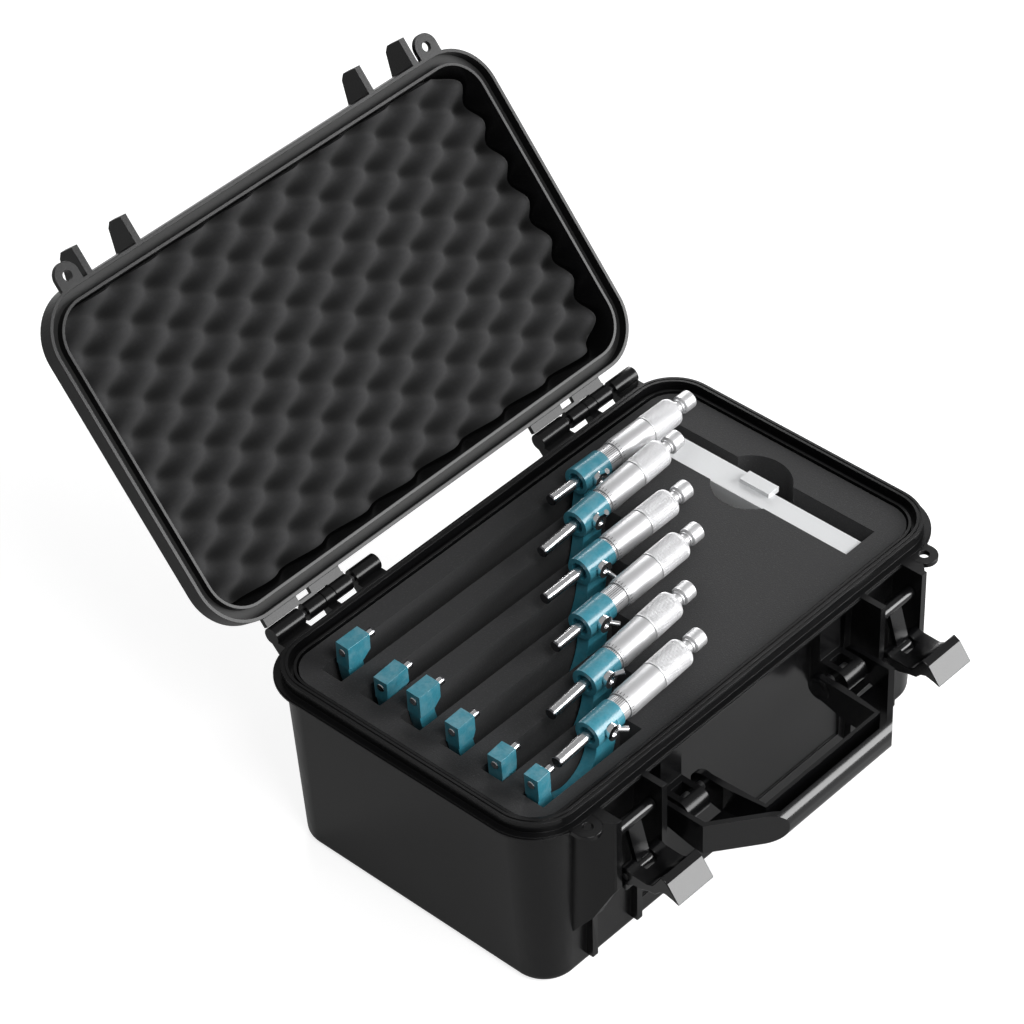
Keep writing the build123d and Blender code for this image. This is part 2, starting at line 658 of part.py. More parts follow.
def shaped_arm(solid, side):
    """Cuts the gap for the lug and the rounded end of one arm, and adds its boss."""
    rear = HANDLE_Y + ARM_END_R
    start = lug_swing()
    inside = ARM_IN + ARM_IN_THICK
    outside = ARM_OUT - ARM_OUT_THICK
    solid -= block(side * inside, side * outside, start, rear + 1, HANDLE_FOOT - 1, HANDLE_TOP + 1)
    keep = rod_x(ARM_END_R, side * (ARM_IN - 1), side * (ARM_OUT + 1), HANDLE_Y, HANDLE_Z)
    under = [(HANDLE_Y, HANDLE_FOOT - 1), (rear + 1, HANDLE_FOOT - 1), (rear + 1, HANDLE_TOP + 1),
             (HANDLE_Y, HANDLE_TOP + 1)]
    end = side_plate(under, side * (ARM_IN - 1), side * (ARM_OUT + 1)) - keep
    solid -= end
    slope = [(HANDLE_Y + 1, HANDLE_Z - ARM_END_R), (HANDLE_Y + 1, HANDLE_FOOT - 1),
             (start - 4, HANDLE_FOOT - 1), (start - 4, HANDLE_FOOT)]
    solid -= side_plate(slope, side * (ARM_IN - 1), side * (ARM_OUT + 1))
    face = ARM_IN - PIVOT_BOSS_OUT
    solid += rod_x(PIVOT_BOSS_R, side * face, side * (ARM_IN + 1), HANDLE_Y, HANDLE_Z)
    ring = rod_x(BOSS_RING[1], side * (face - 1), side * (face + BOSS_RING_DEPTH), HANDLE_Y, HANDLE_Z)
    ring -= rod_x(BOSS_RING[0], side * (face - 2), side * (face + 2), HANDLE_Y, HANDLE_Z)
    return solid - ring - handle_pin(side, HANDLE_PIN_R + FIT)


def handle_pin(side, radius):
    """Pin of one handle arm, or the hole for it."""
    inner = ARM_IN - PIVOT_BOSS_OUT + HANDLE_PIN_COVER
    outer = ARM_OUT - HANDLE_PIN_COVER
    return rod_x(radius, side * inner, side * outer, HANDLE_Y, HANDLE_Z)


def make_handle_pins():
    """The two pins that the handle turns on."""
    return Compound(children=[handle_pin(side, HANDLE_PIN_R) for side in (-1, 1)])


def make_hinge_pins():
    """The two hinge pins."""
    return Compound(children=[hinge_pin(left, HINGE_PIN_R) for left in HINGE_LEFTS])


def make_latch_pins():
    """The two pins that the latch links turn on."""
    reach = PLATE_OUT - PIVOT_PIN_COVER
    return Compound(children=[rod_x(PIVOT_PIN_R, side * LATCH_X - reach, side * LATCH_X + reach,
                                    PIVOT_Y, PIVOT_Z) for side in (-1, 1)])


def frame_depth(n):
    """Micrometer axis to the lowest point of its frame."""
    return THROAT_FIRST + THROAT_STEP * n + FRAME_BAND


def anvil_face(n):
    """Measuring face of the anvil, along the axis from the hub's left end."""
    return -SPINDLE_REACH - INCH * n


def seated(n, solid):
    """Puts a piece modelled about the hub's left end in its place in the case."""
    place = Location((MIC_HUB_X[n], MIC_HUB_Y[n], RIM_HEIGHT + AXIS_RISE + MIC_RISE[n]))
    return place * Rot(0, 0, MIC_YAW[n]) * Rot(0, -MIC_PITCH[n], 0) * solid


def make_frame(n):
    """Bow of one micrometer with its anvil block and hub."""
    right = HUB_LENGTH - HUB_BACK_STEP
    left = anvil_face(n) - MIC_BLOCK[n]
    boss = anvil_face(n) - ANVIL_REACH
    inner_left = min(left + LIMB_WIDE, boss)
    inner_right = HUB_FRONT_STEP
    depth = frame_depth(n)
    low = -LIMB_FOOT
    outer = ThreePointArc((left, low), ((left + right) / 2, -depth), (right, low))
    inner_foot = ((inner_left + inner_right) / 2, FRAME_BAND - depth)
    inner = ThreePointArc((inner_right, low), inner_foot, (inner_left, low))
    edges = [
        outer,
        Line((right, low), (right, 0)),
        Line((right, 0), (inner_right, 0)),
        Line((inner_right, 0), (inner_right, low)),
        inner,
        Line((inner_left, low), (inner_left, 0)),
        Line((inner_left, 0), (left, 0)),
        Line((left, 0), (left, low)),
    ]
    bow = extrude(Plane.XZ * make_face(edges), FRAME_THICK / 2, both=True)
    half = BLOCK_THICK / 2
    under = [(left, BLOCK_RISE), (left, low), (inner_left, low), (boss, -BLOCK_RISE), (boss, BLOCK_RISE)]
    bow += extrude(Plane.XZ * make_face(Polyline(*under, close=True)), half, both=True)
    bow += rod_x(HUB_R, 0, HUB_LENGTH, 0, 0)
    bow -= rod_y(LOCK_SHAFT_R + FIT, LOCK_PLACE, -HUB_R - 1, -SPINDLE_R - TURN_GAP, 0)
    flat = LOCK_HEAD_R + LOCK_HEAD_CLEAR
    bow -= block(LOCK_PLACE - flat, LOCK_PLACE + flat, -HUB_R - 1, -lock_seat(), -flat, flat)
    bow -= rod_x(SPINDLE_R + FIT, -1, HUB_LENGTH + 1, 0, 0)
    bow -= rod_x(HUB_BORE_R, -1, HUB_BORE_DEPTH, 0, 0)
    bow -= rod_x(SLEEVE_R, HUB_LENGTH - SEAT_DEPTH, HUB_LENGTH + 1, 0, 0)
    return bow - rod_x(ANVIL_R, left - 1, boss + 1, 0, 0)


def lock_seat():
    """Flat on the hub under the lock's head, from the axis."""
    return HUB_R - LOCK_FLAT


def make_anvil(n):
    """Fixed measuring face, pressed through its block."""
    return rod_x(ANVIL_R, anvil_face(n) - MIC_BLOCK[n] - ANVIL_TAIL, anvil_face(n), 0, 0)


def thimble_front(n):
    """Front edge of the thimble as it is set."""
    return HUB_LENGTH + SLEEVE_SHOWN + MIC_OPENINGS[n]


def thimble_back(n):
    """Rear end of the thimble as it is set."""
    return thimble_front(n) + THIMBLE_SMOOTH + KNURL_LENGTH


def make_spindle(n):
    """Moving measuring rod, with the tail that the thimble turns on."""
    cap = thimble_back(n) - THIMBLE_CAP
    rod = rod_x(SPINDLE_R, MIC_OPENINGS[n] - SPINDLE_REACH, cap - TURN_GAP, 0, 0)
    return rod + rod_x(SPINDLE_TAIL_R, cap - 1, cap + THIMBLE_CAP - RATCHET_STUB - TURN_GAP, 0, 0)


def make_sleeve(n):
    """Graduated barrel fixed in the hub."""
    seat = HUB_LENGTH - SEAT_DEPTH
    end = HUB_LENGTH + SLEEVE_SHOWN + TRAVEL + SLEEVE_HELD
    return rod_x(SLEEVE_R, seat, end, 0, 0) - rod_x(SLEEVE_BORE_R, seat - 1, end + 1, 0, 0)


def make_thimble(n):
    """Turning drum: a smooth graduated part and a knurled part."""
    front = thimble_front(n)
    back = thimble_back(n)
    knurl = rod_x(KNURL_R, front + THIMBLE_SMOOTH, back, 0, 0)
    knurl = fillet(knurl.edges().sort_by(Axis.X)[-1], KNURL_END_FILLET)
    drum = rod_x(THIMBLE_R, front, front + THIMBLE_SMOOTH + 1, 0, 0)
    drum = chamfer(drum.edges().sort_by(Axis.X)[0], THIMBLE_EDGE) + knurl
    drum -= rod_x(THIMBLE_BORE_R, front - 1, back - THIMBLE_CAP, 0, 0)
    return drum - rod_x(SPINDLE_TAIL_R + FIT, back - THIMBLE_CAP - 1, back + 1, 0, 0)


def make_ratchet(n):
    """Friction stop on the end of the thimble."""
    back = thimble_back(n)
    neck = back + RATCHET_GAP
    end = neck + RATCHET_NECK
    stop = rod_x(SPINDLE_TAIL_R, back - RATCHET_STUB, neck + 1, 0, 0)
    stop += rod_x(RATCHET_NECK_R, neck, end + 1, 0, 0)
    knob = rod_x(RATCHET_R, end, end + RATCHET_KNOB, 0, 0)
    return stop + chamfer(knob.edges().filter_by(GeomType.CIRCLE), RATCHET_EDGE)


def make_lock_lever(n):
    """Spindle lock: a round head with a short arm, on a shaft into the hub."""
    face = -lock_seat() - FIT
    lock = rod_y(LOCK_SHAFT_R, 0, face - 1, -SPINDLE_R - 2 * TURN_GAP, 0)
    lock += rod_y(LOCK_HEAD_R, 0, face - LOCK_HEAD, face, 0)
    lock -= rod_y(LOCK_HOLE_R, 0, face - LOCK_HEAD - 1, face - LOCK_HEAD + LOCK_HOLE, 0)
    root = Pos(LOCK_HEAD_R - LOCK_ARM_R, face - LOCK_HEAD / 2, 0)
    arm = rod_x(LOCK_ARM_R, 0, LOCK_ARM, 0, 0)
    arm = root * Rot(0, 0, -LOCK_ARM_LEAN) * arm
    return Pos(LOCK_PLACE, 0, 0) * Rot(0, -MIC_LOCK_TURN[n], 0) * (lock + arm)


MICROMETER_PIECES = {
    "frame": make_frame,
    "anvil": make_anvil,
    "spindle": make_spindle,
    "sleeve": make_sleeve,
    "thimble": make_thimble,
    "ratchet": make_ratchet,
    "lock": make_lock_lever,
}


def make_base_foam():
    """Foam block with a slot for each frame, a pocket for the box and a finger hole."""
    foam = cavity(FOAM_CLEAR)
    over = FOAM_TOP + 1
    for n in range(COUNT):
        end = MIC_HUB_X[n] + HUB_LENGTH + SLOT_END_CLEAR
        foot = seated(n, make_frame(n)).bounding_box().min.Z - SLOT_CLEAR
        foam -= block(SLOT_LEFT, end, SLOT_Y[n] - SLOT_WIDTH / 2, SLOT_Y[n] + SLOT_WIDTH / 2, foot, over)
    foam -= block(POCKET_X[0], POCKET_X[1], POCKET_Y[0], POCKET_Y[1], FOAM_TOP - POCKET_DEPTH, over)
    return foam - rod_z(FINGER_R, FINGER_X, FINGER_Y, FOAM_TOP - FINGER_DEPTH, over)


def box_room():
    """Corners of the accessory box in its pocket."""
    x0 = POCKET_X[0] + SLOT_CLEAR
    y0 = POCKET_Y[0] + BOX_END_CLEAR
    y1 = POCKET_Y[1] - BOX_END_CLEAR
    z0 = FOAM_TOP - POCKET_DEPTH + SLOT_CLEAR
    return x0, x0 + BOX_THICK, y0, y1, z0, FOAM_TOP - BOX_TOP_DROP


def make_accessory_box():
    """Clear box on its long edge, open at the top under its cap."""
    x0, x1, y0, y1, z0, z1 = box_room()
    wall = BOX_WALL
    body = block(x0, x1, y0, y1, z0, z1 - BOX_CAP_HEIGHT)
    return body - block(x0 + wall, x1 - wall, y0 + wall, y1 - wall, z0 + wall, z1)


def make_accessory_box_lid():
    """Cap of the clear box, with a wider rear half and a raised clip."""
    x0, x1, y0, y1, z0, z1 = box_room()
    foot = z1 - BOX_CAP_HEIGHT + CAP_GAP
    cap = block(x0, x1, y0, y1, foot, z1)
    cap += block(x0, x0 + BOX_CAP_WIDE, BOX_STEP_Y, y1, foot, z1)
    cap += block(CLIP_X[0], CLIP_X[1], CLIP_Y - CLIP_HALF, CLIP_Y + CLIP_HALF, z1 - 1, z1 + CLIP_RISE)
    wall = BOX_WALL
    return cap - block(x0 + wall, x1 - wall, y0 + wall, y1 - wall, foot - 1, z1 - wall)


def all_parts():
    """Every node of the case by its name."""
    parts = {
        "base_shell": make_base_shell(),
        "padlock_ears": make_padlock_ears(),
        "base_foam": make_base_foam(),
        "hinge_pins": make_hinge_pins(),
        "latch_pivot_pins": make_latch_pins(),
        "handle_pins": make_handle_pins(),
        "lid_shell": opened(make_lid_shell()),
        "lid_foam": opened(make_lid_foam()),
        "lid_gasket": opened(make_lid_gasket()),
        "handle": make_handle(),
        "accessory_box": make_accessory_box(),
        "accessory_box_lid": make_accessory_box_lid(),
    }
    for name, side in (("left", -1), ("right", 1)):
        parts["latch_lever_" + name] = make_lever(side)
        parts["latch_link_" + name] = make_link(side)
        parts["latch_link_pin_" + name] = make_link_pin(side)
    for n in range(COUNT):
        size = str(n + 1)
        for piece, make in MICROMETER_PIECES.items():
            parts["micrometer_" + piece + "_" + size] = seated(n, make(n))
    return parts


os.makedirs("parts", exist_ok=True)
for node, solid in all_parts().items():
    export_step(solid, "parts/" + node + ".step")
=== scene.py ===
import json
import math

import bmesh
import bpy
from bpy.props import FloatProperty, FloatVectorProperty, IntProperty, PointerProperty
from mathutils import Matrix, Vector


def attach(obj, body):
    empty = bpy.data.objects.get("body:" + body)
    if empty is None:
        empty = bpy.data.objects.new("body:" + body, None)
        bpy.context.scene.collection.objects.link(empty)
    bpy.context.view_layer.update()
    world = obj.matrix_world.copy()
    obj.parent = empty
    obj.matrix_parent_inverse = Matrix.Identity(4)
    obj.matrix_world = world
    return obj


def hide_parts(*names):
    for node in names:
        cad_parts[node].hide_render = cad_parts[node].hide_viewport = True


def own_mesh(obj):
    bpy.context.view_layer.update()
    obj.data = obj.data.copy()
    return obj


bl_info = {
    "name": "Micrometer case",
    "version": (1, 0, 0),
    "blender": (4, 5, 0),
    "location": "3D Viewport > Sidebar > Micrometer case",
    "description": "Finishes a micrometer case: moulded shell, foam, latches, handle and six tools",
    "category": "Object",
}

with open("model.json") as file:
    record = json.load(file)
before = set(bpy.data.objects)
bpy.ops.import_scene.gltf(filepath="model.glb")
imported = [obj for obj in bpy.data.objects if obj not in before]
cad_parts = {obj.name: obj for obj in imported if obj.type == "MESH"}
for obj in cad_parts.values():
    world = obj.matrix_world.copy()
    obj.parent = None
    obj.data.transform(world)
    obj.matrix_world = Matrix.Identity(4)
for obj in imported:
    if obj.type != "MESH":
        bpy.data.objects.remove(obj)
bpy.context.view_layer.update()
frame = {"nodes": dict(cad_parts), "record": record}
JOINTS = {joint["name"]: joint for joint in frame["record"]["behaviour"]["joints"]}
TOOLS = range(1, 7)
SHARP = math.radians(32)

# Lid foam
PAD_CORNER = 0.017

# Spindles and anvils
SPINDLE_RADIUS = 0.0031
ANVIL_RADIUS = 0.0023
TAIL_RADIUS = 0.0025
TAIL_LENGTH = 0.0032
ROD_EDGE = 0.00025
TIP_LENGTH = 0.0012
TIP_PROUD = 0.00003
ROD_SIDES = 48

# Sleeves and thimbles
SLEEVE_BORE = 0.0052
SLEEVE_EDGE = 0.0003
SLEEVE_SIDES = 64
THIMBLE_BORE = 0.0072
THIMBLE_BEVEL = 0.0035
THIMBLE_SIDES = 312
THIMBLE_STEPS = 110
KNURL_PROUD = 0.0002
KNURL_LEAD = math.pi / 0.00098
GROOVE_DEPTH = 0.0003
TAIL_BORE = 0.00255
REAR_WALL = 0.006
MARK_HEIGHT = 0.00008

# Ratchet stops
RATCHET_RADIUS = 0.00525
RATCHET_NECK = 0.0035
RATCHET_COLLAR = 0.0041
RATCHET_FLUTES = 32.0
RATCHET_LEAD = math.pi / 0.001
RATCHET_DEPTH = 0.00014
RATCHET_SIDES = 160
RATCHET_STEPS = 26

# Edge rounding of small pieces
FRAME_EDGE = 0.0009
LOCK_EDGE = 0.0003
BOX_EDGE = 0.0006
CAP_EDGE = 0.0009

# Camera and stage
CAMERA_PLACE = (-1.21755, -1.08584, 1.58231)
CAMERA_RIGHT = (0.672315, -0.739905, -0.023089)
CAMERA_DOWN = (-0.496175, -0.427265, -0.755814)
CAMERA_FORWARD = (0.549366, 0.519601, -0.654379)
CAMERA_LENS = 150.16
CAMERA_SENSOR = 36.0
FLOOR_HALF = 6.0
LAMP_TARGET = (0.0, 0.0, 0.1)


# ---------------------------------------------------------------- settings

class CaseFinish(bpy.types.PropertyGroup):
    """Colours and surface sizes of the case."""

    shell_color: FloatVectorProperty(
        name="Shell colour", description="Black of the moulded shell", subtype="COLOR",
        default=(0.0045, 0.0045, 0.0048))
    fitting_color: FloatVectorProperty(
        name="Fitting colour", description="Black of the handle and the latches", subtype="COLOR",
        default=(0.004, 0.004, 0.0044))
    foam_color: FloatVectorProperty(
        name="Foam colour", description="Charcoal of the base foam", subtype="COLOR",
        default=(0.025, 0.025, 0.026))
    lid_foam_color: FloatVectorProperty(
        name="Lid foam colour", description="Charcoal of the convoluted foam", subtype="COLOR",
        default=(0.034, 0.034, 0.035))
    edge_round: FloatProperty(
        name="Edge rounding", description="Radius on the moulded edges", unit="LENGTH",
        default=0.0005, min=0.0001)
    foam_edge: FloatProperty(
        name="Foam edge", description="Rounding where the foam is cut", unit="LENGTH",
        default=0.0007, min=0.0001)


class FoamPeaks(bpy.types.PropertyGroup):
    """Shape of the convoluted foam in the lid."""

    pitch_along: FloatProperty(
        name="Pitch along", description="Peak to peak along the hinge side", unit="LENGTH", default=0.0344)
    pitch_across: FloatProperty(
        name="Pitch across", description="Peak to peak away from the hinges", unit="LENGTH", default=0.0244)
    depth: FloatProperty(
        name="Depth", description="Peak down to dip", unit="LENGTH", default=0.0132)
    shift_along: FloatProperty(
        name="Shift along", description="From the first dip to the middle", unit="LENGTH", default=0.01034)
    shift_across: FloatProperty(
        name="Shift across", description="From the first dip to the middle", unit="LENGTH", default=0.00225)
    cell: FloatProperty(
        name="Cell", description="Size of the surface's quads", unit="LENGTH", default=0.0022, min=0.0005)


class ToolFinish(bpy.types.PropertyGroup):
    """Colours and sizes of the micrometers."""

    paint_color: FloatVectorProperty(
        name="Frame paint", description="Blue-green enamel", subtype="COLOR", default=(0.042, 0.25, 0.33))
    chrome_color: FloatVectorProperty(
        name="Satin chrome", description="Colour of the drums", subtype="COLOR", default=(0.66, 0.66, 0.67))
    hub_length: FloatProperty(
        name="Hub length", description="Hub along the axis", unit="LENGTH", default=0.020)
    sleeve_shown: FloatProperty(
        name="Sleeve shown", description="Sleeve in front of a closed thimble", unit="LENGTH", default=0.002)
    sleeve_radius: FloatProperty(
        name="Sleeve radius", description="Graduated barrel", unit="LENGTH", default=0.0069)
    thimble_radius: FloatProperty(
        name="Thimble radius", description="Smooth part", unit="LENGTH", default=0.0079)
    smooth_length: FloatProperty(
        name="Smooth length", description="Smooth part", unit="LENGTH", default=0.026)
    knurl_length: FloatProperty(
        name="Knurl length", description="Gripping part", unit="LENGTH", default=0.0225)
    knurl_starts: IntProperty(name="Knurl starts", description="Diamonds round the drum", default=52, min=8)
    knurl_depth: FloatProperty(
        name="Knurl depth", description="Depth of the diamonds", unit="LENGTH", default=0.00028)
    thimble_marks: IntProperty(name="Thimble marks", description="Lines round the bevel", default=25, min=5)
    vernier_marks: IntProperty(name="Vernier marks", description="Lines along the sleeve", default=11, min=2)


# ---------------------------------------------------------------- shader parts

def add(tree, kind, settings=None, inputs=None):
    """Node of that kind; an input is given a value or another node's output."""
    node = tree.nodes.new(kind)
    for name, value in (settings or {}).items():
        setattr(node, name, value)
    for name, value in (inputs or {}).items():
        if isinstance(value, bpy.types.NodeSocket):
            tree.links.new(value, node.inputs[name])
        else:
            node.inputs[name].default_value = value
    return node


def new_group(name, kind, sockets):
    """Empty node group with (name, in or out, type, default) sockets."""
    group = bpy.data.node_groups.new(name, kind)
    for title, direction, socket, default in sockets:
        item = group.interface.new_socket(title, in_out=direction, socket_type="NodeSocket" + socket)
        if default is not None:
            item.default_value = default
    return group, group.nodes.new("NodeGroupInput"), group.nodes.new("NodeGroupOutput")


def math_node(tree, operation, a, b=0.0):
    """One arithmetic step."""
    return add(tree, "ShaderNodeMath", {"operation": operation}, {0: a, 1: b}).outputs[0]


def grain_group():
    """Fine moulded or cut grain: a height and a slow drift."""
    group, ins, outs = new_group("surface_grain", "ShaderNodeTree", [
        ("Vector", "INPUT", "Vector", None), ("Size", "INPUT", "Float", 1.0),
        ("Height", "OUTPUT", "Float", None), ("Drift", "OUTPUT", "Float", None)])
    scale = math_node(group, "DIVIDE", 1000.0, ins.outputs["Size"])
    fine = add(group, "ShaderNodeTexNoise", None,
               {"Vector": ins.outputs["Vector"], "Scale": scale, "Detail": 3.0, "Roughness": 0.6})
    slow = add(group, "ShaderNodeTexNoise", None,
               {"Vector": ins.outputs["Vector"], "Scale": 28.0, "Detail": 2.0, "Roughness": 0.5})
    group.links.new(fine.outputs["Fac"], outs.inputs["Height"])
    group.links.new(slow.outputs["Fac"], outs.inputs["Drift"])
    return group


def wear_group():
    """Rubbed edges: a mask from how far the surface bulges, broken up by noise."""
    group, ins, outs = new_group("edge_wear", "ShaderNodeTree", [
        ("Vector", "INPUT", "Vector", None), ("Bulge", "INPUT", "Float", 0.5),
        ("Amount", "INPUT", "Float", 0.3), ("Mask", "OUTPUT", "Float", None)])
    edge = add(group, "ShaderNodeMapRange", {"clamp": True},
               {"Value": ins.outputs["Bulge"], "From Min": 0.51, "From Max": 0.6})
    broken = add(group, "ShaderNodeTexNoise", None,
                 {"Vector": ins.outputs["Vector"], "Scale": 160.0, "Detail": 4.0, "Roughness": 0.65})
    patch = add(group, "ShaderNodeMapRange", {"clamp": True},
                {"Value": broken.outputs["Fac"], "From Min": 0.42, "From Max": 0.62})
    both = math_node(group, "MULTIPLY", edge.outputs[0], patch.outputs[0])
    group.links.new(math_node(group, "MULTIPLY", both, ins.outputs["Amount"]), outs.inputs["Mask"])
    return group


def dust_group():
    """Light dust: a speckled mask, denser in some places."""
    group, ins, outs = new_group("light_dust", "ShaderNodeTree", [
        ("Vector", "INPUT", "Vector", None), ("Amount", "INPUT", "Float", 0.1),
        ("Mask", "OUTPUT", "Float", None)])
    speck = add(group, "ShaderNodeTexNoise", None,
                {"Vector": ins.outputs["Vector"], "Scale": 900.0, "Detail": 2.0, "Roughness": 0.7})
    cloud = add(group, "ShaderNodeTexNoise", None,
                {"Vector": ins.outputs["Vector"], "Scale": 14.0, "Detail": 3.0, "Roughness": 0.6})
    dots = add(group, "ShaderNodeMapRange", {"clamp": True},
               {"Value": speck.outputs["Fac"], "From Min": 0.55, "From Max": 0.75})
    both = math_node(group, "MULTIPLY", dots.outputs[0], cloud.outputs["Fac"])
    group.links.new(math_node(group, "MULTIPLY", both, ins.outputs["Amount"]), outs.inputs["Mask"])
    return group


GROUPS = {}


def shared(name):
    """The shader group of that name, built once."""
    makers = {"grain": grain_group, "wear": wear_group, "dust": dust_group}
    if name not in GROUPS:
        GROUPS[name] = makers[name]()
    return GROUPS[name]


def place_group(tree, name, inputs):
    """One of the shared groups in a material."""
    return add(tree, "ShaderNodeGroup", {"node_tree": shared(name)}, inputs)


def mix_colors(tree, factor, first, second):
    """Colour between two others."""
    return add(tree, "ShaderNodeMix", {"data_type": "RGBA"}, {0: factor, 6: first, 7: second}).outputs[2]


FINISHES = {}


def finish_of(name, color, rough, grain=0.5, bump=0.2, drift=0.15, wear=0.0, wear_color=(0.2, 0.2, 0.2),
              dust=0.0, lines=0.0, hammer=0.0, dip_shade=0.0, sockets=None):
    """Principled material with grain, drift, worn edges, dust, turning lines, hammered paint or painted shade in
    the foam's hollows.
    """
    if name in FINISHES:
        return FINISHES[name]
    material = bpy.data.materials.new("finish_" + name)
    FINISHES[name] = material
    material.use_nodes = True
    tree = material.node_tree
    shader = tree.nodes["Principled BSDF"]
    where = tree.nodes.new("ShaderNodeTexCoord").outputs["Object"]
    surface = place_group(tree, "grain", {"Vector": where, "Size": grain})
    height, slow = surface.outputs["Height"], surface.outputs["Drift"]
    if lines:
        along = tree.nodes.new("ShaderNodeUVMap").outputs["UV"]
        stretched = add(tree, "ShaderNodeVectorMath", {"operation": "MULTIPLY"},
                        {0: along, 1: (1.5, lines, 1.0)})
        rings = add(tree, "ShaderNodeTexNoise", None,
                    {"Vector": stretched.outputs[0], "Scale": 1.0, "Detail": 3.0})
        height = rings.outputs["Fac"]
    if hammer:
        dents = add(tree, "ShaderNodeTexVoronoi", {"feature": "SMOOTH_F1"},
                    {"Vector": where, "Scale": 1000.0 / hammer, "Smoothness": 0.8})
        height = math_node(tree, "ADD", math_node(tree, "MULTIPLY", height, 0.25), dents.outputs["Distance"])
    dark = tuple(c * (1 - drift) for c in color) + (1.0,)
    light = tuple(min(c * (1 + drift), 1.0) for c in color) + (1.0,)
    mixed = math_node(tree, "ADD", math_node(tree, "MULTIPLY", height, 0.5),
                      math_node(tree, "MULTIPLY", slow, 0.5))
    tone = mix_colors(tree, mixed, dark, light)
    roughness = add(tree, "ShaderNodeMapRange", {"clamp": True},
                    {"Value": mixed, "To Min": rough * 0.82, "To Max": min(rough * 1.18, 1.0)}).outputs[0]
    if wear:
        bulge = tree.nodes.new("ShaderNodeNewGeometry").outputs["Pointiness"]
        mask = place_group(tree, "wear", {"Vector": where, "Bulge": bulge, "Amount": wear}).outputs["Mask"]
        tone = mix_colors(tree, mask, tone, wear_color + (1.0,))
    if dust:
        mask = place_group(tree, "dust", {"Vector": where, "Amount": dust}).outputs["Mask"]
        tone = mix_colors(tree, mask, tone, (0.4, 0.4, 0.4, 1.0))
    # Painted shade: the colour darkens towards the bottom of each hollow of the lid foam, in place of the shade
    # that falls there.
    if dip_shade:
        dip = add(tree, "ShaderNodeAttribute", {"attribute_name": "dip"}).outputs["Fac"]
        dip_shade_color = tuple(c * (1 - dip_shade) for c in color) + (1.0,)
        tone = mix_colors(tree, math_node(tree, "POWER", dip, 1.3), tone, dip_shade_color)
    tree.links.new(tone, shader.inputs["Base Color"])
    tree.links.new(roughness, shader.inputs["Roughness"])
    if bump:
        relief = add(tree, "ShaderNodeBump", None, {"Strength": bump, "Distance": 0.0002, "Height": height})
        tree.links.new(relief.outputs[0], shader.inputs["Normal"])
    for title, value in (sockets or {}).items():
        shader.inputs[title].default_value = value
    return material


def shell_plastic():
    """Satin black moulding."""
    color = tuple(bpy.context.scene.case_finish.shell_color)
    return finish_of("shell_plastic", color, 0.25, grain=0.6, bump=0.08, dust=0.02,
                     sockets={"Specular IOR Level": 0.3})


def fitting_plastic():
    """Smooth black moulding of the handle and latches."""
    color = tuple(bpy.context.scene.case_finish.fitting_color)
    return finish_of("fitting_plastic", color, 0.2, grain=0.9, bump=0.03, dust=0.01,
                     sockets={"Specular IOR Level": 0.45, "Coat Weight": 0.1, "Coat Roughness": 0.1})


def cut_foam():
    """Fine charcoal foam."""
    color = tuple(bpy.context.scene.case_finish.foam_color)
    return finish_of("cut_foam", color, 0.95, grain=0.8, bump=0.8, drift=0.22, dust=0.1,
                     sockets={"Sheen Weight": 0.12, "Sheen Roughness": 0.6, "Specular IOR Level": 0.2})


def peak_foam():
    """Softer charcoal foam of the lid, with painted shade darkening its hollows."""
    color = tuple(bpy.context.scene.case_finish.lid_foam_color)
    # Painted shade: the colour falls to almost black at the bottom of each hollow.
    return finish_of("peak_foam", color, 0.95, grain=0.7, bump=0.7, drift=0.2, dust=0.05, dip_shade=0.97,
                     sockets={"Sheen Weight": 0.1, "Sheen Roughness": 0.6, "Specular IOR Level": 0.2})


def seal_rubber():
    """Matt seal."""
    return finish_of("seal_rubber", (0.012, 0.012, 0.012), 0.6, grain=0.5, bump=0.15)


def frame_paint():
    """Blue-green enamel over a cast frame."""
    color = tuple(bpy.context.scene.tool_finish.paint_color)
    return finish_of("frame_paint", color, 0.30, grain=0.9, bump=0.35, drift=0.22, wear=0.35,
                     wear_color=(0.35, 0.5, 0.55), hammer=1.3,
                     sockets={"Coat Weight": 0.35, "Coat Roughness": 0.12, "Specular IOR Level": 0.6})


def satin_chrome():
    """Satin chrome of the drums, with fine turning lines."""
    color = tuple(bpy.context.scene.tool_finish.chrome_color)
    return finish_of("satin_chrome", color, 0.42, bump=0.05, drift=0.04, lines=26000.0,
                     sockets={"Metallic": 0.65})


def ground_steel():
    """Ground and polished measuring rods."""
    return finish_of("ground_steel", (0.78, 0.78, 0.79), 0.2, grain=0.9, bump=0.0, drift=0.02,
                     sockets={"Metallic": 1.0})


def carbide():
    """Dark hard tip on a measuring face."""
    return finish_of("carbide", (0.16, 0.16, 0.17), 0.25, grain=0.3, bump=0.05, sockets={"Metallic": 1.0})


def pin_steel():
    """Blackened steel pins."""
    return finish_of("pin_steel", (0.03, 0.03, 0.032), 0.34, grain=0.4, bump=0.08, wear=0.4,
                     wear_color=(0.4, 0.4, 0.4), sockets={"Metallic": 0.6})


def lock_chrome():
    """Bright chrome of the locks."""
    return finish_of("lock_chrome", (0.86, 0.86, 0.87), 0.1, grain=0.8, bump=0.02, drift=0.03,
                     sockets={"Metallic": 1.0})


def mark_ink():
    """Black filling of the graduations."""
    return finish_of("mark_ink", (0.01, 0.01, 0.011), 0.5, grain=0.2, bump=0.1)


def clear_plastic():
    """Clear moulding of the accessory box."""
    return finish_of("clear_plastic", (0.93, 0.94, 0.95), 0.14, grain=1.2, bump=0.04, drift=0.04,
                     sockets={"Transmission Weight": 0.18, "IOR": 1.49, "Coat Weight": 0.2,
                              "Coat Roughness": 0.08})


# ---------------------------------------------------------------- mesh helpers

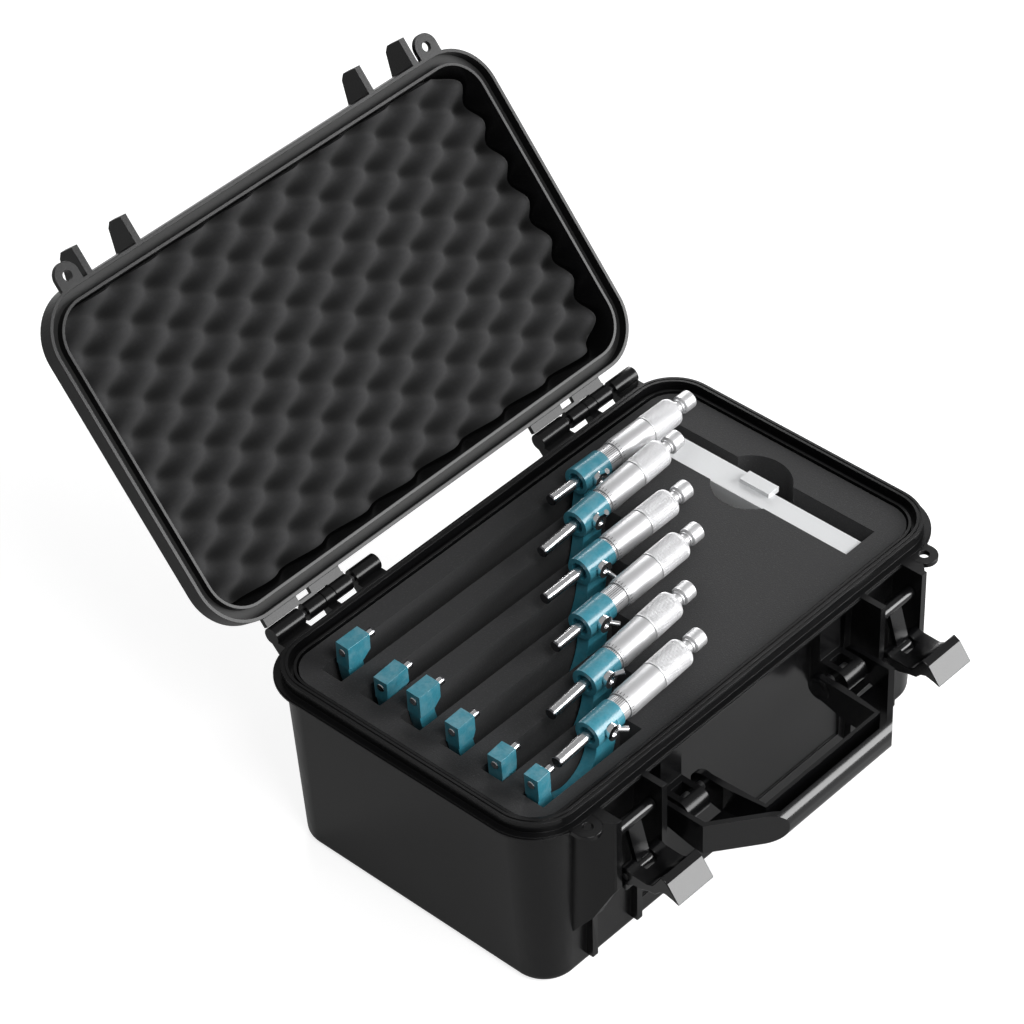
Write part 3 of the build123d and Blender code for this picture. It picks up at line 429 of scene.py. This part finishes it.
def new_piece(name, mesh, material, body, nodes=()):
    """Object at the origin that rides on a body and stands for CAD nodes."""
    piece = bpy.data.objects.new(name, mesh)
    bpy.context.scene.collection.objects.link(piece)
    mesh.materials.clear()
    mesh.materials.append(material)
    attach(piece, body)
    if nodes:
        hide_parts(*nodes)
    return piece


def smooth(mesh, angle=SHARP):
    """Smooth shading that keeps edges sharper than the angle."""
    mesh.polygons.foreach_set("use_smooth", [True] * len(mesh.polygons))
    mesh.set_sharp_from_angle(angle=angle)


def merged_copy(node, clean=True):
    """CAD node's mesh with its triangles joined and, if clean, its flat faces made whole."""
    mesh = frame["nodes"][node].data.copy()
    work = bmesh.new()
    work.from_mesh(mesh)
    bmesh.ops.remove_doubles(work, verts=work.verts, dist=1e-6)
    if clean:
        bmesh.ops.dissolve_limit(work, angle_limit=math.radians(0.5), verts=work.verts, edges=work.edges)
    work.to_mesh(mesh)
    work.free()
    return mesh


def applied(mesh, modify, name="shaping"):
    """Mesh after the modifiers that modify(object) adds."""
    holder = bpy.data.objects.new(name, mesh)
    bpy.context.scene.collection.objects.link(holder)
    modify(holder)
    graph = bpy.context.evaluated_depsgraph_get()
    result = bpy.data.meshes.new_from_object(holder.evaluated_get(graph))
    bpy.data.objects.remove(holder)
    return result


def rounded(node, width, segments=2, clean=True):
    """CAD node's shape with its sharp edges rounded."""
    def modify(holder):
        bevel = holder.modifiers.new("round", "BEVEL")
        bevel.limit_method = "ANGLE"
        bevel.angle_limit = SHARP
        bevel.width = width
        bevel.segments = segments
        bevel.miter_outer = "MITER_ARC"
        flat = holder.modifiers.new("flat", "WEIGHTED_NORMAL")
        flat.keep_sharp = True
    mesh = merged_copy(node, clean)
    smooth(mesh)
    return applied(mesh, modify)


def dressed(node, body, material, width):
    """Rounded copy of a CAD node in its place."""
    return new_piece(node + "_finished", rounded(node, width), material, body, [node])


def repaint(node, material):
    """New material on a CAD node that stays."""
    mesh = frame["nodes"][node].data
    mesh.materials.clear()
    mesh.materials.append(material)


def tool_place(n):
    """Matrix from a tool's own axes to the case: X along its spindle, origin at the hub's front."""
    turn = JOINTS["thimble_%d_turn" % n]
    along = Vector(turn["axis"]).normalized()
    side = -Vector(JOINTS["lock_%d_turn" % n]["axis"])
    up = along.cross(side).normalized()
    side = up.cross(along)
    place = Matrix((along, side, up)).transposed().to_4x4()
    place.translation = Vector(turn["pos_m"])
    return place


def span_along(node, place):
    """Where a CAD node starts and ends along its tool's axis."""
    local = frame["nodes"][node].data.copy()
    local.transform(place.inverted())
    return min(v.co.x for v in local.vertices), max(v.co.x for v in local.vertices)


def opening(n):
    """How far a tool is open beyond its shortest size."""
    return -JOINTS["spindle_%d_slide" % n]["range_m"][0]


def turned(profile, steps):
    """Closed outline of (x, radius) turned about X, with a UV map round and along it."""
    verts, faces, uvs = [], [], []
    count = len(profile)
    lengths = [0.0]
    for (x0, r0), (x1, r1) in zip(profile, profile[1:] + profile[:1]):
        lengths.append(lengths[-1] + math.hypot(x1 - x0, r1 - r0))
    for i in range(steps):
        angle = 2 * math.pi * i / steps
        for x, r in profile:
            verts.append((x, r * math.cos(angle), r * math.sin(angle)))
    for i in range(steps):
        for j in range(count):
            a, b = i * count + j, i * count + (j + 1) % count
            c, d = ((i + 1) % steps) * count + (j + 1) % count, ((i + 1) % steps) * count + j
            faces.append((a, d, c, b))
            u0, u1 = i / steps, (i + 1) / steps
            v0, v1 = lengths[j], lengths[j + 1]
            uvs += [(u0, v0), (u1, v0), (u1, v1), (u0, v1)]
    mesh = bpy.data.meshes.new("turned")
    mesh.from_pydata(verts, [], faces)
    layer = mesh.uv_layers.new(name="UVMap")
    for k, uv in enumerate(uvs):
        layer.data[k].uv = uv
    work = bmesh.new()
    work.from_mesh(mesh)
    bmesh.ops.remove_doubles(work, verts=work.verts, dist=1e-7)
    bmesh.ops.recalc_face_normals(work, faces=work.faces)
    work.to_mesh(mesh)
    work.free()
    return mesh


def even_steps(x0, x1, radius, count):
    """Outline points along a straight part."""
    return [(x0 + (x1 - x0) * k / count, radius) for k in range(count + 1)]


def arc_points(x, radius, size, count=5):
    """Outline points of a rounded rear edge."""
    points = []
    for k in range(count + 1):
        angle = math.pi / 2 * k / count
        points.append((x - size + size * math.sin(angle), radius - size + size * math.cos(angle)))
    return points


# ---------------------------------------------------------------- geometry nodes

def knurl_tree():
    """Moves the outer skin of a drum in and out in crossed or straight ridges."""
    group, ins, outs = new_group("knurl", "GeometryNodeTree", [
        ("Geometry", "INPUT", "Geometry", None), ("From", "INPUT", "Float", 0.0), ("To", "INPUT", "Float", 1.0),
        ("Radius", "INPUT", "Float", 0.008), ("Starts", "INPUT", "Float", 48.0), ("Lead", "INPUT", "Float", 0.0),
        ("Depth", "INPUT", "Float", 0.0002), ("Material", "INPUT", "Material", None),
        ("Geometry", "OUTPUT", "Geometry", None)])
    place = group.nodes.new("GeometryNodeInputPosition").outputs[0]
    split = add(group, "ShaderNodeSeparateXYZ", None, {0: place})
    x, y, z = split.outputs
    turn = math_node(group, "ARCTAN2", z, y)
    around = math_node(group, "MULTIPLY", turn, math_node(group, "DIVIDE", ins.outputs["Starts"], 2.0))
    along = math_node(group, "MULTIPLY", x, ins.outputs["Lead"])
    first = math_node(group, "ABSOLUTE", math_node(group, "SINE", math_node(group, "ADD", around, along)))
    second = math_node(group, "ABSOLUTE", math_node(group, "SINE", math_node(group, "SUBTRACT", around, along)))
    groove = math_node(group, "MINIMUM", first, second)
    radius = math_node(group, "SQRT", math_node(
        group, "ADD", math_node(group, "MULTIPLY", y, y), math_node(group, "MULTIPLY", z, z)))
    inside = math_node(group, "MULTIPLY",
                       math_node(group, "GREATER_THAN", x, ins.outputs["From"]),
                       math_node(group, "LESS_THAN", x, ins.outputs["To"]))
    inside = math_node(group, "MULTIPLY", inside, math_node(
        group, "GREATER_THAN", radius, math_node(group, "MULTIPLY", ins.outputs["Radius"], 0.97)))
    drop = math_node(group, "MULTIPLY", math_node(group, "SUBTRACT", groove, 1.0), ins.outputs["Depth"])
    drop = math_node(group, "MULTIPLY", drop, inside)
    outward = add(group, "ShaderNodeCombineXYZ", None, {1: math_node(group, "DIVIDE", y, radius),
                                                        2: math_node(group, "DIVIDE", z, radius)})
    offset = add(group, "ShaderNodeVectorMath", {"operation": "SCALE"}, {0: outward.outputs[0], 3: drop})
    moved = add(group, "GeometryNodeSetPosition", None, {"Geometry": ins.outputs["Geometry"],
                                                         "Offset": offset.outputs[0]})
    end_tree(group, moved.outputs[0], ins, outs)
    return group


def marks_tree():
    """Row of thin raised lines round a barrel, each lying along it."""
    group, ins, outs = new_group("marks", "GeometryNodeTree", [
        ("Geometry", "INPUT", "Geometry", None), ("Count", "INPUT", "Int", 25),
        ("Start", "INPUT", "Float", 0.0), ("Step", "INPUT", "Float", 0.25),
        ("Radius", "INPUT", "Float", 0.008), ("Middle", "INPUT", "Float", 0.0),
        ("Length", "INPUT", "Float", 0.002), ("Width", "INPUT", "Float", 0.0002),
        ("Material", "INPUT", "Material", None), ("Geometry", "OUTPUT", "Geometry", None)])
    line = add(group, "GeometryNodeMeshLine", None, {"Count": ins.outputs["Count"], "Offset": (0.0, 0.0, 0.0)})
    index = group.nodes.new("GeometryNodeInputIndex").outputs[0]
    angle = math_node(group, "ADD", math_node(group, "MULTIPLY", index, ins.outputs["Step"]),
                      ins.outputs["Start"])
    spot = add(group, "ShaderNodeCombineXYZ", None, {
        0: ins.outputs["Middle"],
        1: math_node(group, "MULTIPLY", math_node(group, "COSINE", angle), ins.outputs["Radius"]),
        2: math_node(group, "MULTIPLY", math_node(group, "SINE", angle), ins.outputs["Radius"])})
    ring = add(group, "GeometryNodeSetPosition", None, {"Geometry": line.outputs[0], "Position": spot.outputs[0]})
    size = add(group, "ShaderNodeCombineXYZ", None, {
        0: ins.outputs["Length"], 1: MARK_HEIGHT, 2: ins.outputs["Width"]})
    bar = add(group, "GeometryNodeMeshCube", None, {"Size": size.outputs[0]})
    turn = add(group, "ShaderNodeCombineXYZ", None, {0: angle})
    rotation = add(group, "FunctionNodeEulerToRotation", None, {0: turn.outputs[0]})
    placed = add(group, "GeometryNodeInstanceOnPoints", None, {
        "Points": ring.outputs[0], "Instance": bar.outputs[0], "Rotation": rotation.outputs[0]})
    end_tree(group, placed.outputs[0], ins, outs)
    return group


def peaks_tree():
    """Cuts egg-crate peaks into the free face of a foam pad that lies in XY, free face down."""
    group, ins, outs = new_group("foam_peaks", "GeometryNodeTree", [
        ("Geometry", "INPUT", "Geometry", None), ("Along", "INPUT", "Float", 0.035),
        ("Across", "INPUT", "Float", 0.025), ("Depth", "INPUT", "Float", 0.009),
        ("Shift along", "INPUT", "Float", 0.0), ("Shift across", "INPUT", "Float", 0.0),
        ("Free face", "INPUT", "Float", 0.0), ("Material", "INPUT", "Material", None),
        ("Geometry", "OUTPUT", "Geometry", None)])
    place = group.nodes.new("GeometryNodeInputPosition").outputs[0]
    split = add(group, "ShaderNodeSeparateXYZ", None, {0: place})
    waves = []
    for axis, pitch, shift in ((0, "Along", "Shift along"), (1, "Across", "Shift across")):
        turns = math_node(group, "DIVIDE", math_node(group, "ADD", split.outputs[axis], ins.outputs[shift]),
                          ins.outputs[pitch])
        waves.append(math_node(group, "COSINE", math_node(group, "MULTIPLY", turns, 2 * math.pi)))
    wave = math_node(group, "MULTIPLY", waves[0], waves[1])
    depth = math_node(group, "MULTIPLY", math_node(group, "MULTIPLY", math_node(group, "ADD", wave, 1.0), 0.5),
                      ins.outputs["Depth"])
    on_face = math_node(group, "LESS_THAN", math_node(
        group, "ABSOLUTE", math_node(group, "SUBTRACT", split.outputs[2], ins.outputs["Free face"])), 0.0002)
    offset = add(group, "ShaderNodeCombineXYZ", None, {2: math_node(group, "MULTIPLY", depth, on_face)})
    moved = add(group, "GeometryNodeSetPosition", None, {"Geometry": ins.outputs["Geometry"],
                                                         "Offset": offset.outputs[0]})
    end_tree(group, moved.outputs[0], ins, outs)
    return group


def end_tree(group, geometry, ins, outs):
    """Real geometry with its material at the end of a tree."""
    real = add(group, "GeometryNodeRealizeInstances", None, {"Geometry": geometry})
    coated = add(group, "GeometryNodeSetMaterial", None, {"Geometry": real.outputs[0],
                                                          "Material": ins.outputs["Material"]})
    group.links.new(coated.outputs[0], outs.inputs["Geometry"])


TREES = {}


def grown(mesh, tree_name, values):
    """Mesh after one of the geometry trees, with its inputs set by name."""
    makers = {"knurl": knurl_tree, "marks": marks_tree, "peaks": peaks_tree}
    if tree_name not in TREES:
        TREES[tree_name] = makers[tree_name]()
    tree = TREES[tree_name]

    def modify(holder):
        modifier = holder.modifiers.new(tree_name, "NODES")
        modifier.node_group = tree
        sockets = {item.name: item.identifier for item in tree.interface.items_tree if item.in_out == "INPUT"}
        for title, value in values.items():
            modifier[sockets[title]] = value
    return applied(mesh, modify)


# ---------------------------------------------------------------- pieces

class CASE_OT_shells(bpy.types.Operator):
    """Base and lid mouldings, with rounded edges"""
    bl_idname = "micrometer_case.shells"
    bl_label = "Shells"

    def execute(self, context):
        width = context.scene.case_finish.edge_round
        dressed("base_shell", "base", shell_plastic(), width)
        dressed("padlock_ears", "base", shell_plastic(), width * 0.6)
        dressed("lid_shell", "lid", shell_plastic(), width)
        repaint("lid_gasket", seal_rubber())
        repaint("hinge_pins", pin_steel())
        return {"FINISHED"}


class CASE_OT_latches(bpy.types.Operator):
    """Draw latches with their pins"""
    bl_idname = "micrometer_case.latches"
    bl_label = "Latches"

    def execute(self, context):
        width = context.scene.case_finish.edge_round
        for side in ("left", "right"):
            for piece in ("latch_lever_" + side, "latch_link_" + side):
                dressed(piece, piece, fitting_plastic(), width)
            repaint("latch_link_pin_" + side, pin_steel())
        repaint("latch_pivot_pins", pin_steel())
        return {"FINISHED"}


class CASE_OT_handle(bpy.types.Operator):
    """Folding handle with its pins"""
    bl_idname = "micrometer_case.handle"
    bl_label = "Handle"

    def execute(self, context):
        width = context.scene.case_finish.edge_round * 1.4
        dressed("handle", "handle", fitting_plastic(), width)
        repaint("handle_pins", pin_steel())
        return {"FINISHED"}


class CASE_OT_base_foam(bpy.types.Operator):
    """Cut foam block of the base"""
    bl_idname = "micrometer_case.base_foam"
    bl_label = "Base foam"

    def execute(self, context):
        mesh = rounded("base_foam", context.scene.case_finish.foam_edge, clean=False)
        foam = new_piece("base_foam_cut", mesh, cut_foam(), "base", ["base_foam"])
        return {"FINISHED"}


def foam_pad(low, high, corner, cell):
    """Closed pad with a rounded plan and an even grid on both faces."""
    across = max(int((high[0] - low[0]) / cell), 2)
    deep = max(int((high[1] - low[1]) / cell), 2)
    verts = []
    for z in (low[2], high[2]):
        for j in range(deep + 1):
            for i in range(across + 1):
                x = low[0] + (high[0] - low[0]) * i / across
                y = low[1] + (high[1] - low[1]) * j / deep
                near_x = min(max(x, low[0] + corner), high[0] - corner)
                near_y = min(max(y, low[1] + corner), high[1] - corner)
                far = math.hypot(x - near_x, y - near_y)
                if far > corner:
                    x = near_x + (x - near_x) * corner / far
                    y = near_y + (y - near_y) * corner / far
                verts.append((x, y, z))
    row = across + 1
    layer = row * (deep + 1)
    faces = []
    for j in range(deep):
        for i in range(across):
            a = j * row + i
            faces.append((a, a + row, a + row + 1, a + 1))
            faces.append((layer + a, layer + a + 1, layer + a + row + 1, layer + a + row))
    rim = list(range(row)) + [j * row + across for j in range(1, deep + 1)]
    rim += [deep * row + i for i in range(across - 1, -1, -1)] + [j * row for j in range(deep - 1, 0, -1)]
    for a, b in zip(rim, rim[1:] + rim[:1]):
        faces.append((a, b, layer + b, layer + a))
    mesh = bpy.data.meshes.new("foam_pad")
    mesh.from_pydata(verts, [], faces)
    work = bmesh.new()
    work.from_mesh(mesh)
    bmesh.ops.remove_doubles(work, verts=work.verts, dist=0.0002)
    bmesh.ops.dissolve_degenerate(work, edges=work.edges, dist=0.0001)
    bmesh.ops.recalc_face_normals(work, faces=work.faces)
    work.to_mesh(mesh)
    work.free()
    return mesh


class CASE_OT_lid_foam(bpy.types.Operator):
    """Convoluted foam of the lid"""
    bl_idname = "micrometer_case.lid_foam"
    bl_label = "Lid foam"

    def execute(self, context):
        peaks = context.scene.foam_peaks
        hinge = JOINTS["lid_hinge"]
        swing = math.radians(-hinge["range_deg"][0])
        pivot = Vector(hinge["pos_m"])
        to_open = Matrix.Translation(pivot) @ Matrix.Rotation(-swing, 4, "X") @ Matrix.Translation(-pivot)
        shut = frame["nodes"]["lid_foam"].data.copy()
        shut.transform(to_open.inverted())
        low = [min(v.co[k] for v in shut.vertices) for k in range(3)]
        high = [max(v.co[k] for v in shut.vertices) for k in range(3)]
        pad = foam_pad(low, high, PAD_CORNER, peaks.cell)
        mesh = grown(pad, "peaks", {
            "Along": peaks.pitch_along, "Across": peaks.pitch_across, "Depth": peaks.depth,
            "Shift along": peaks.shift_along, "Shift across": peaks.shift_across, "Free face": low[2],
            "Material": peak_foam()})
        # How far each point lies down its hollow, 0 at a peak and 1 at the bottom; the lid foam's finish darkens
        # by it as painted shade.
        dip = mesh.attributes.new("dip", "FLOAT", "POINT")
        for k, vert in enumerate(mesh.vertices):
            dip.data[k].value = min(max((vert.co.z - low[2]) / peaks.depth, 0.0), 1.0)
        mesh.transform(to_open)
        smooth(mesh, math.radians(60))
        foam = new_piece("lid_foam_peaks", mesh, peak_foam(), "lid", ["lid_foam"])
        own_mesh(foam)
        return {"FINISHED"}


class CASE_OT_frames(bpy.types.Operator):
    """Painted bow frames of the tools"""
    bl_idname = "micrometer_case.frames"
    bl_label = "Frames"

    def execute(self, context):
        for n in TOOLS:
            dressed("micrometer_frame_%d" % n, "micrometer_%d" % n, frame_paint(),
                    FRAME_EDGE)
        return {"FINISHED"}


class CASE_OT_rods(bpy.types.Operator):
    """Ground spindles and anvils with hard tips"""
    bl_idname = "micrometer_case.rods"
    bl_label = "Spindles and anvils"

    def execute(self, context):
        for n in TOOLS:
            place = tool_place(n)
            for piece, body in (("spindle", "spindle_%d"), ("anvil", "micrometer_%d")):
                node = "micrometer_%s_%d" % (piece, n)
                x0, x1 = span_along(node, place)
                radius = SPINDLE_RADIUS if piece == "spindle" else ANVIL_RADIUS
                edge = ROD_EDGE
                outline = [(x0, 0.0), (x0, radius - edge), (x0 + edge, radius)]
                if piece == "spindle":
                    step = x1 - TAIL_LENGTH
                    outline += [(step, radius), (step, TAIL_RADIUS), (x1, TAIL_RADIUS), (x1, 0.0)]
                else:
                    outline += [(x1 - edge, radius), (x1, radius - edge), (x1, 0.0)]
                mesh = turned(outline, ROD_SIDES)
                mesh.transform(place)
                smooth(mesh)
                new_piece(node + "_ground", mesh, ground_steel(), body % n, [node])
                face = x0 if piece == "spindle" else x1
                back = face + TIP_LENGTH if piece == "spindle" else face - TIP_LENGTH
                a, b = sorted((face, back))
                grow = TIP_PROUD
                cap = turned([(a - grow, 0.0), (a - grow, radius - edge), (a + edge, radius + grow),
                              (b - edge, radius + grow), (b, radius - edge), (b, 0.0)], ROD_SIDES)
                cap.transform(place)
                smooth(cap)
                new_piece("%s_tip_%d" % (piece, n), cap, carbide(), body % n)
        return {"FINISHED"}


class CASE_OT_sleeves(bpy.types.Operator):
    """Graduated sleeves"""
    bl_idname = "micrometer_case.sleeves"
    bl_label = "Sleeves"

    def execute(self, context):
        tool = context.scene.tool_finish
        for n in TOOLS:
            place = tool_place(n)
            node = "micrometer_sleeve_%d" % n
            x0, x1 = span_along(node, place)
            radius = tool.sleeve_radius
            outline = [(x0, SLEEVE_BORE), (x0, radius), (x1 - SLEEVE_EDGE, radius), (x1, radius - SLEEVE_EDGE),
                       (x1, SLEEVE_BORE)]
            mesh = turned(outline, SLEEVE_SIDES)
            mesh.transform(place)
            smooth(mesh)
            new_piece(node + "_turned", mesh, satin_chrome(), "micrometer_%d" % n, [node])
            shown = tool.sleeve_shown + opening(n)
            marks = grown(bpy.data.meshes.new("empty"), "marks", {
                "Count": tool.vernier_marks, "Start": math.radians(70), "Step": math.radians(9.0),
                "Radius": radius + 0.00001, "Middle": tool.hub_length + shown * 0.5 + 0.002,
                "Length": shown + 0.004, "Width": 0.00022, "Material": mark_ink()})
            marks.transform(place)
            new_piece("sleeve_marks_%d" % n, marks, mark_ink(), "micrometer_%d" % n)
        return {"FINISHED"}


class CASE_OT_thimbles(bpy.types.Operator):
    """Thimbles with graduations and crossed knurl"""
    bl_idname = "micrometer_case.thimbles"
    bl_label = "Thimbles"

    def execute(self, context):
        tool = context.scene.tool_finish
        radius = tool.thimble_radius
        knurl = radius + KNURL_PROUD
        for n in TOOLS:
            place = tool_place(n)
            front = tool.hub_length + tool.sleeve_shown + opening(n)
            middle = front + tool.smooth_length
            back = middle + tool.knurl_length
            outline = [(front, THIMBLE_BORE), (front, radius - 0.00045), (front + THIMBLE_BEVEL, radius),
                       (middle - 0.0006, radius), (middle - 0.0004, radius - GROOVE_DEPTH),
                       (middle, radius - GROOVE_DEPTH), (middle, knurl - 0.0001)]
            outline += even_steps(middle + 0.0002, back - 0.0026, knurl, THIMBLE_STEPS)
            outline += arc_points(back, knurl, 0.0025)
            outline += [(back, TAIL_BORE), (back - REAR_WALL, TAIL_BORE), (back - REAR_WALL, THIMBLE_BORE)]
            drum = turned(outline, THIMBLE_SIDES)
            mesh = grown(drum, "knurl", {
                "From": middle + 0.0006, "To": back - 0.0012, "Radius": knurl,
                "Starts": float(tool.knurl_starts), "Lead": KNURL_LEAD,
                "Depth": tool.knurl_depth, "Material": satin_chrome()})
            mesh.transform(place)
            smooth(mesh)
            new_piece("micrometer_thimble_%d_turned" % n, mesh, satin_chrome(), "thimble_%d" % n,
                      ["micrometer_thimble_%d" % n])
            marks = grown(bpy.data.meshes.new("empty"), "marks", {
                "Count": tool.thimble_marks, "Start": 0.0, "Step": 2 * math.pi / tool.thimble_marks,
                "Radius": radius - 0.0002, "Middle": front + 0.0016, "Length": 0.0022, "Width": 0.0002,
                "Material": mark_ink()})
            marks.transform(place)
            new_piece("thimble_marks_%d" % n, marks, mark_ink(), "thimble_%d" % n)
        return {"FINISHED"}


class CASE_OT_ratchets(bpy.types.Operator):
    """Ratchet stops with a fluted knob"""
    bl_idname = "micrometer_case.ratchets"
    bl_label = "Ratchets"

    def execute(self, context):
        tool = context.scene.tool_finish
        for n in TOOLS:
            place = tool_place(n)
            back = tool.hub_length + tool.sleeve_shown + opening(n) + tool.smooth_length + tool.knurl_length
            neck = back + 0.0002
            knob = neck + 0.0052
            end = knob + 0.0086
            radius = RATCHET_RADIUS
            outline = [(back - 0.0025, 0.0), (back - 0.0025, TAIL_RADIUS), (neck, TAIL_RADIUS),
                       (neck, RATCHET_NECK), (knob - 0.0012, RATCHET_NECK), (knob - 0.0012, RATCHET_COLLAR),
                       (knob, RATCHET_COLLAR), (knob, radius - 0.0006), (knob + 0.0006, radius)]
            outline += even_steps(knob + 0.0010, end - 0.0018, radius, RATCHET_STEPS)
            outline += arc_points(end, radius, 0.0012)
            outline += [(end, 0.0)]
            mesh = grown(turned(outline, RATCHET_SIDES), "knurl", {
                "From": knob + 0.0008, "To": end - 0.0014, "Radius": radius, "Starts": RATCHET_FLUTES,
                "Lead": RATCHET_LEAD, "Depth": RATCHET_DEPTH, "Material": satin_chrome()})
            mesh.transform(place)
            smooth(mesh)
            new_piece("micrometer_ratchet_%d_turned" % n, mesh, satin_chrome(), "ratchet_%d" % n,
                      ["micrometer_ratchet_%d" % n])
        return {"FINISHED"}


class CASE_OT_locks(bpy.types.Operator):
    """Spindle locks"""
    bl_idname = "micrometer_case.locks"
    bl_label = "Locks"

    def execute(self, context):
        for n in TOOLS:
            dressed("micrometer_lock_%d" % n, "lock_%d" % n, lock_chrome(), LOCK_EDGE)
        return {"FINISHED"}


class CASE_OT_accessory_box(bpy.types.Operator):
    """Clear accessory box and its cap"""
    bl_idname = "micrometer_case.accessory_box"
    bl_label = "Accessory box"

    def execute(self, context):
        dressed("accessory_box", "base", clear_plastic(), BOX_EDGE)
        dressed("accessory_box_lid", "base", clear_plastic(), CAP_EDGE)
        return {"FINISHED"}


# ---------------------------------------------------------------- stage

def white_world():
    """Plain white surroundings, softer as a light than as a background."""
    world = bpy.data.worlds.new("studio")
    bpy.context.scene.world = world
    world.use_nodes = True
    tree = world.node_tree
    back = tree.nodes["Background"]
    back.inputs["Color"].default_value = (1.0, 1.0, 1.0, 1.0)
    tree.links.new(math_node(tree, "ADD", seen_part(tree, 0.88, 0.22), 0.12), back.inputs["Strength"])


def seen_part(tree, direct, mirrored):
    """Strength that only rays from the camera, or mirrored ones, meet."""
    path = tree.nodes.new("ShaderNodeLightPath")
    plain = math_node(tree, "MAXIMUM", path.outputs["Is Camera Ray"], path.outputs["Is Transmission Ray"])
    return math_node(tree, "ADD", math_node(tree, "MULTIPLY", plain, direct),
                     math_node(tree, "MULTIPLY", path.outputs["Is Glossy Ray"], mirrored))


def soft_lamp(name, place, target, size, power):
    """Square softbox that faces a point."""
    lamp = bpy.data.lights.new(name, "AREA")
    lamp.size = size
    lamp.energy = power
    holder = bpy.data.objects.new(name, lamp)
    bpy.context.scene.collection.objects.link(holder)
    holder.location = place
    holder.rotation_euler = (Vector(target) - Vector(place)).to_track_quat("-Z", "Y").to_euler()


class CASE_OT_stage(bpy.types.Operator):
    """Floor, soft lamps, white surroundings and the camera"""
    bl_idname = "micrometer_case.stage"
    bl_label = "Stage"

    def execute(self, context):
        mesh = bpy.data.meshes.new("floor")
        half = FLOOR_HALF
        corners = [(-half, -half, 0), (half, -half, 0), (half, half, 0), (-half, half, 0)]
        mesh.from_pydata(corners, [], [(0, 1, 2, 3)])
        floor = bpy.data.objects.new("floor", mesh)
        context.scene.collection.objects.link(floor)
        paint = bpy.data.materials.new("floor_white")
        paint.use_nodes = True
        tree = paint.node_tree
        shader = tree.nodes["Principled BSDF"]
        shader.inputs["Base Color"].default_value = (0.5, 0.5, 0.5, 1.0)
        shader.inputs["Roughness"].default_value = 0.9
        shader.inputs["Specular IOR Level"].default_value = 0.0
        shader.inputs["Emission Color"].default_value = (1.0, 1.0, 1.0, 1.0)
        tree.links.new(seen_part(tree, 0.8, 0.1), shader.inputs["Emission Strength"])
        mesh.materials.append(paint)
        white_world()
        soft_lamp("key", (-0.5, -1.4, 2.0), LAMP_TARGET, 1.0, 26.0)
        soft_lamp("front", (1.32, -1.87, 0.87), LAMP_TARGET, 1.4, 62.0)
        soft_lamp("back", (1.5, 1.4, 0.8), LAMP_TARGET, 0.9, 24.0)
        lens = bpy.data.cameras.new("camera")
        lens.lens = CAMERA_LENS
        lens.sensor_width = CAMERA_SENSOR
        camera = bpy.data.objects.new("camera", lens)
        context.scene.collection.objects.link(camera)
        view = Matrix((Vector(CAMERA_RIGHT), -Vector(CAMERA_DOWN), -Vector(CAMERA_FORWARD))).transposed().to_4x4()
        view.translation = Vector(CAMERA_PLACE)
        camera.matrix_world = view
        context.scene.camera = camera
        context.scene.view_settings.view_transform = "Standard"
        return {"FINISHED"}


class CASE_PT_panel(bpy.types.Panel):
    """Sizes, colours and the pieces in order"""
    bl_idname = "CASE_PT_panel"
    bl_label = "Micrometer case"
    bl_space_type = "VIEW_3D"
    bl_region_type = "UI"
    bl_category = "Micrometer case"

    def draw(self, context):
        for group in ("case_finish", "foam_peaks", "tool_finish"):
            settings = getattr(context.scene, group)
            box = self.layout.box()
            for name in settings.__annotations__:
                box.prop(settings, name)
        for piece in PIECES:
            self.layout.operator(piece.bl_idname)


PIECES = (CASE_OT_shells, CASE_OT_latches, CASE_OT_handle, CASE_OT_base_foam, CASE_OT_lid_foam, CASE_OT_frames,
          CASE_OT_rods, CASE_OT_sleeves, CASE_OT_thimbles, CASE_OT_ratchets, CASE_OT_locks, CASE_OT_accessory_box,
          CASE_OT_stage)
CLASSES = (CaseFinish, FoamPeaks, ToolFinish) + PIECES + (CASE_PT_panel,)


def register():
    """Registers the classes and their settings."""
    for cls in CLASSES:
        bpy.utils.register_class(cls)
    bpy.types.Scene.case_finish = PointerProperty(type=CaseFinish)
    bpy.types.Scene.foam_peaks = PointerProperty(type=FoamPeaks)
    bpy.types.Scene.tool_finish = PointerProperty(type=ToolFinish)


def unregister():
    """Removes the classes and their settings."""
    for name in ("case_finish", "foam_peaks", "tool_finish"):
        delattr(bpy.types.Scene, name)
    for cls in reversed(CLASSES):
        bpy.utils.unregister_class(cls)


def main():
    """Makes every piece in order."""
    register()
    for piece in PIECES:
        group, name = piece.bl_idname.split(".")
        getattr(getattr(bpy.ops, group), name)()


if __name__ == "__main__":
    main()
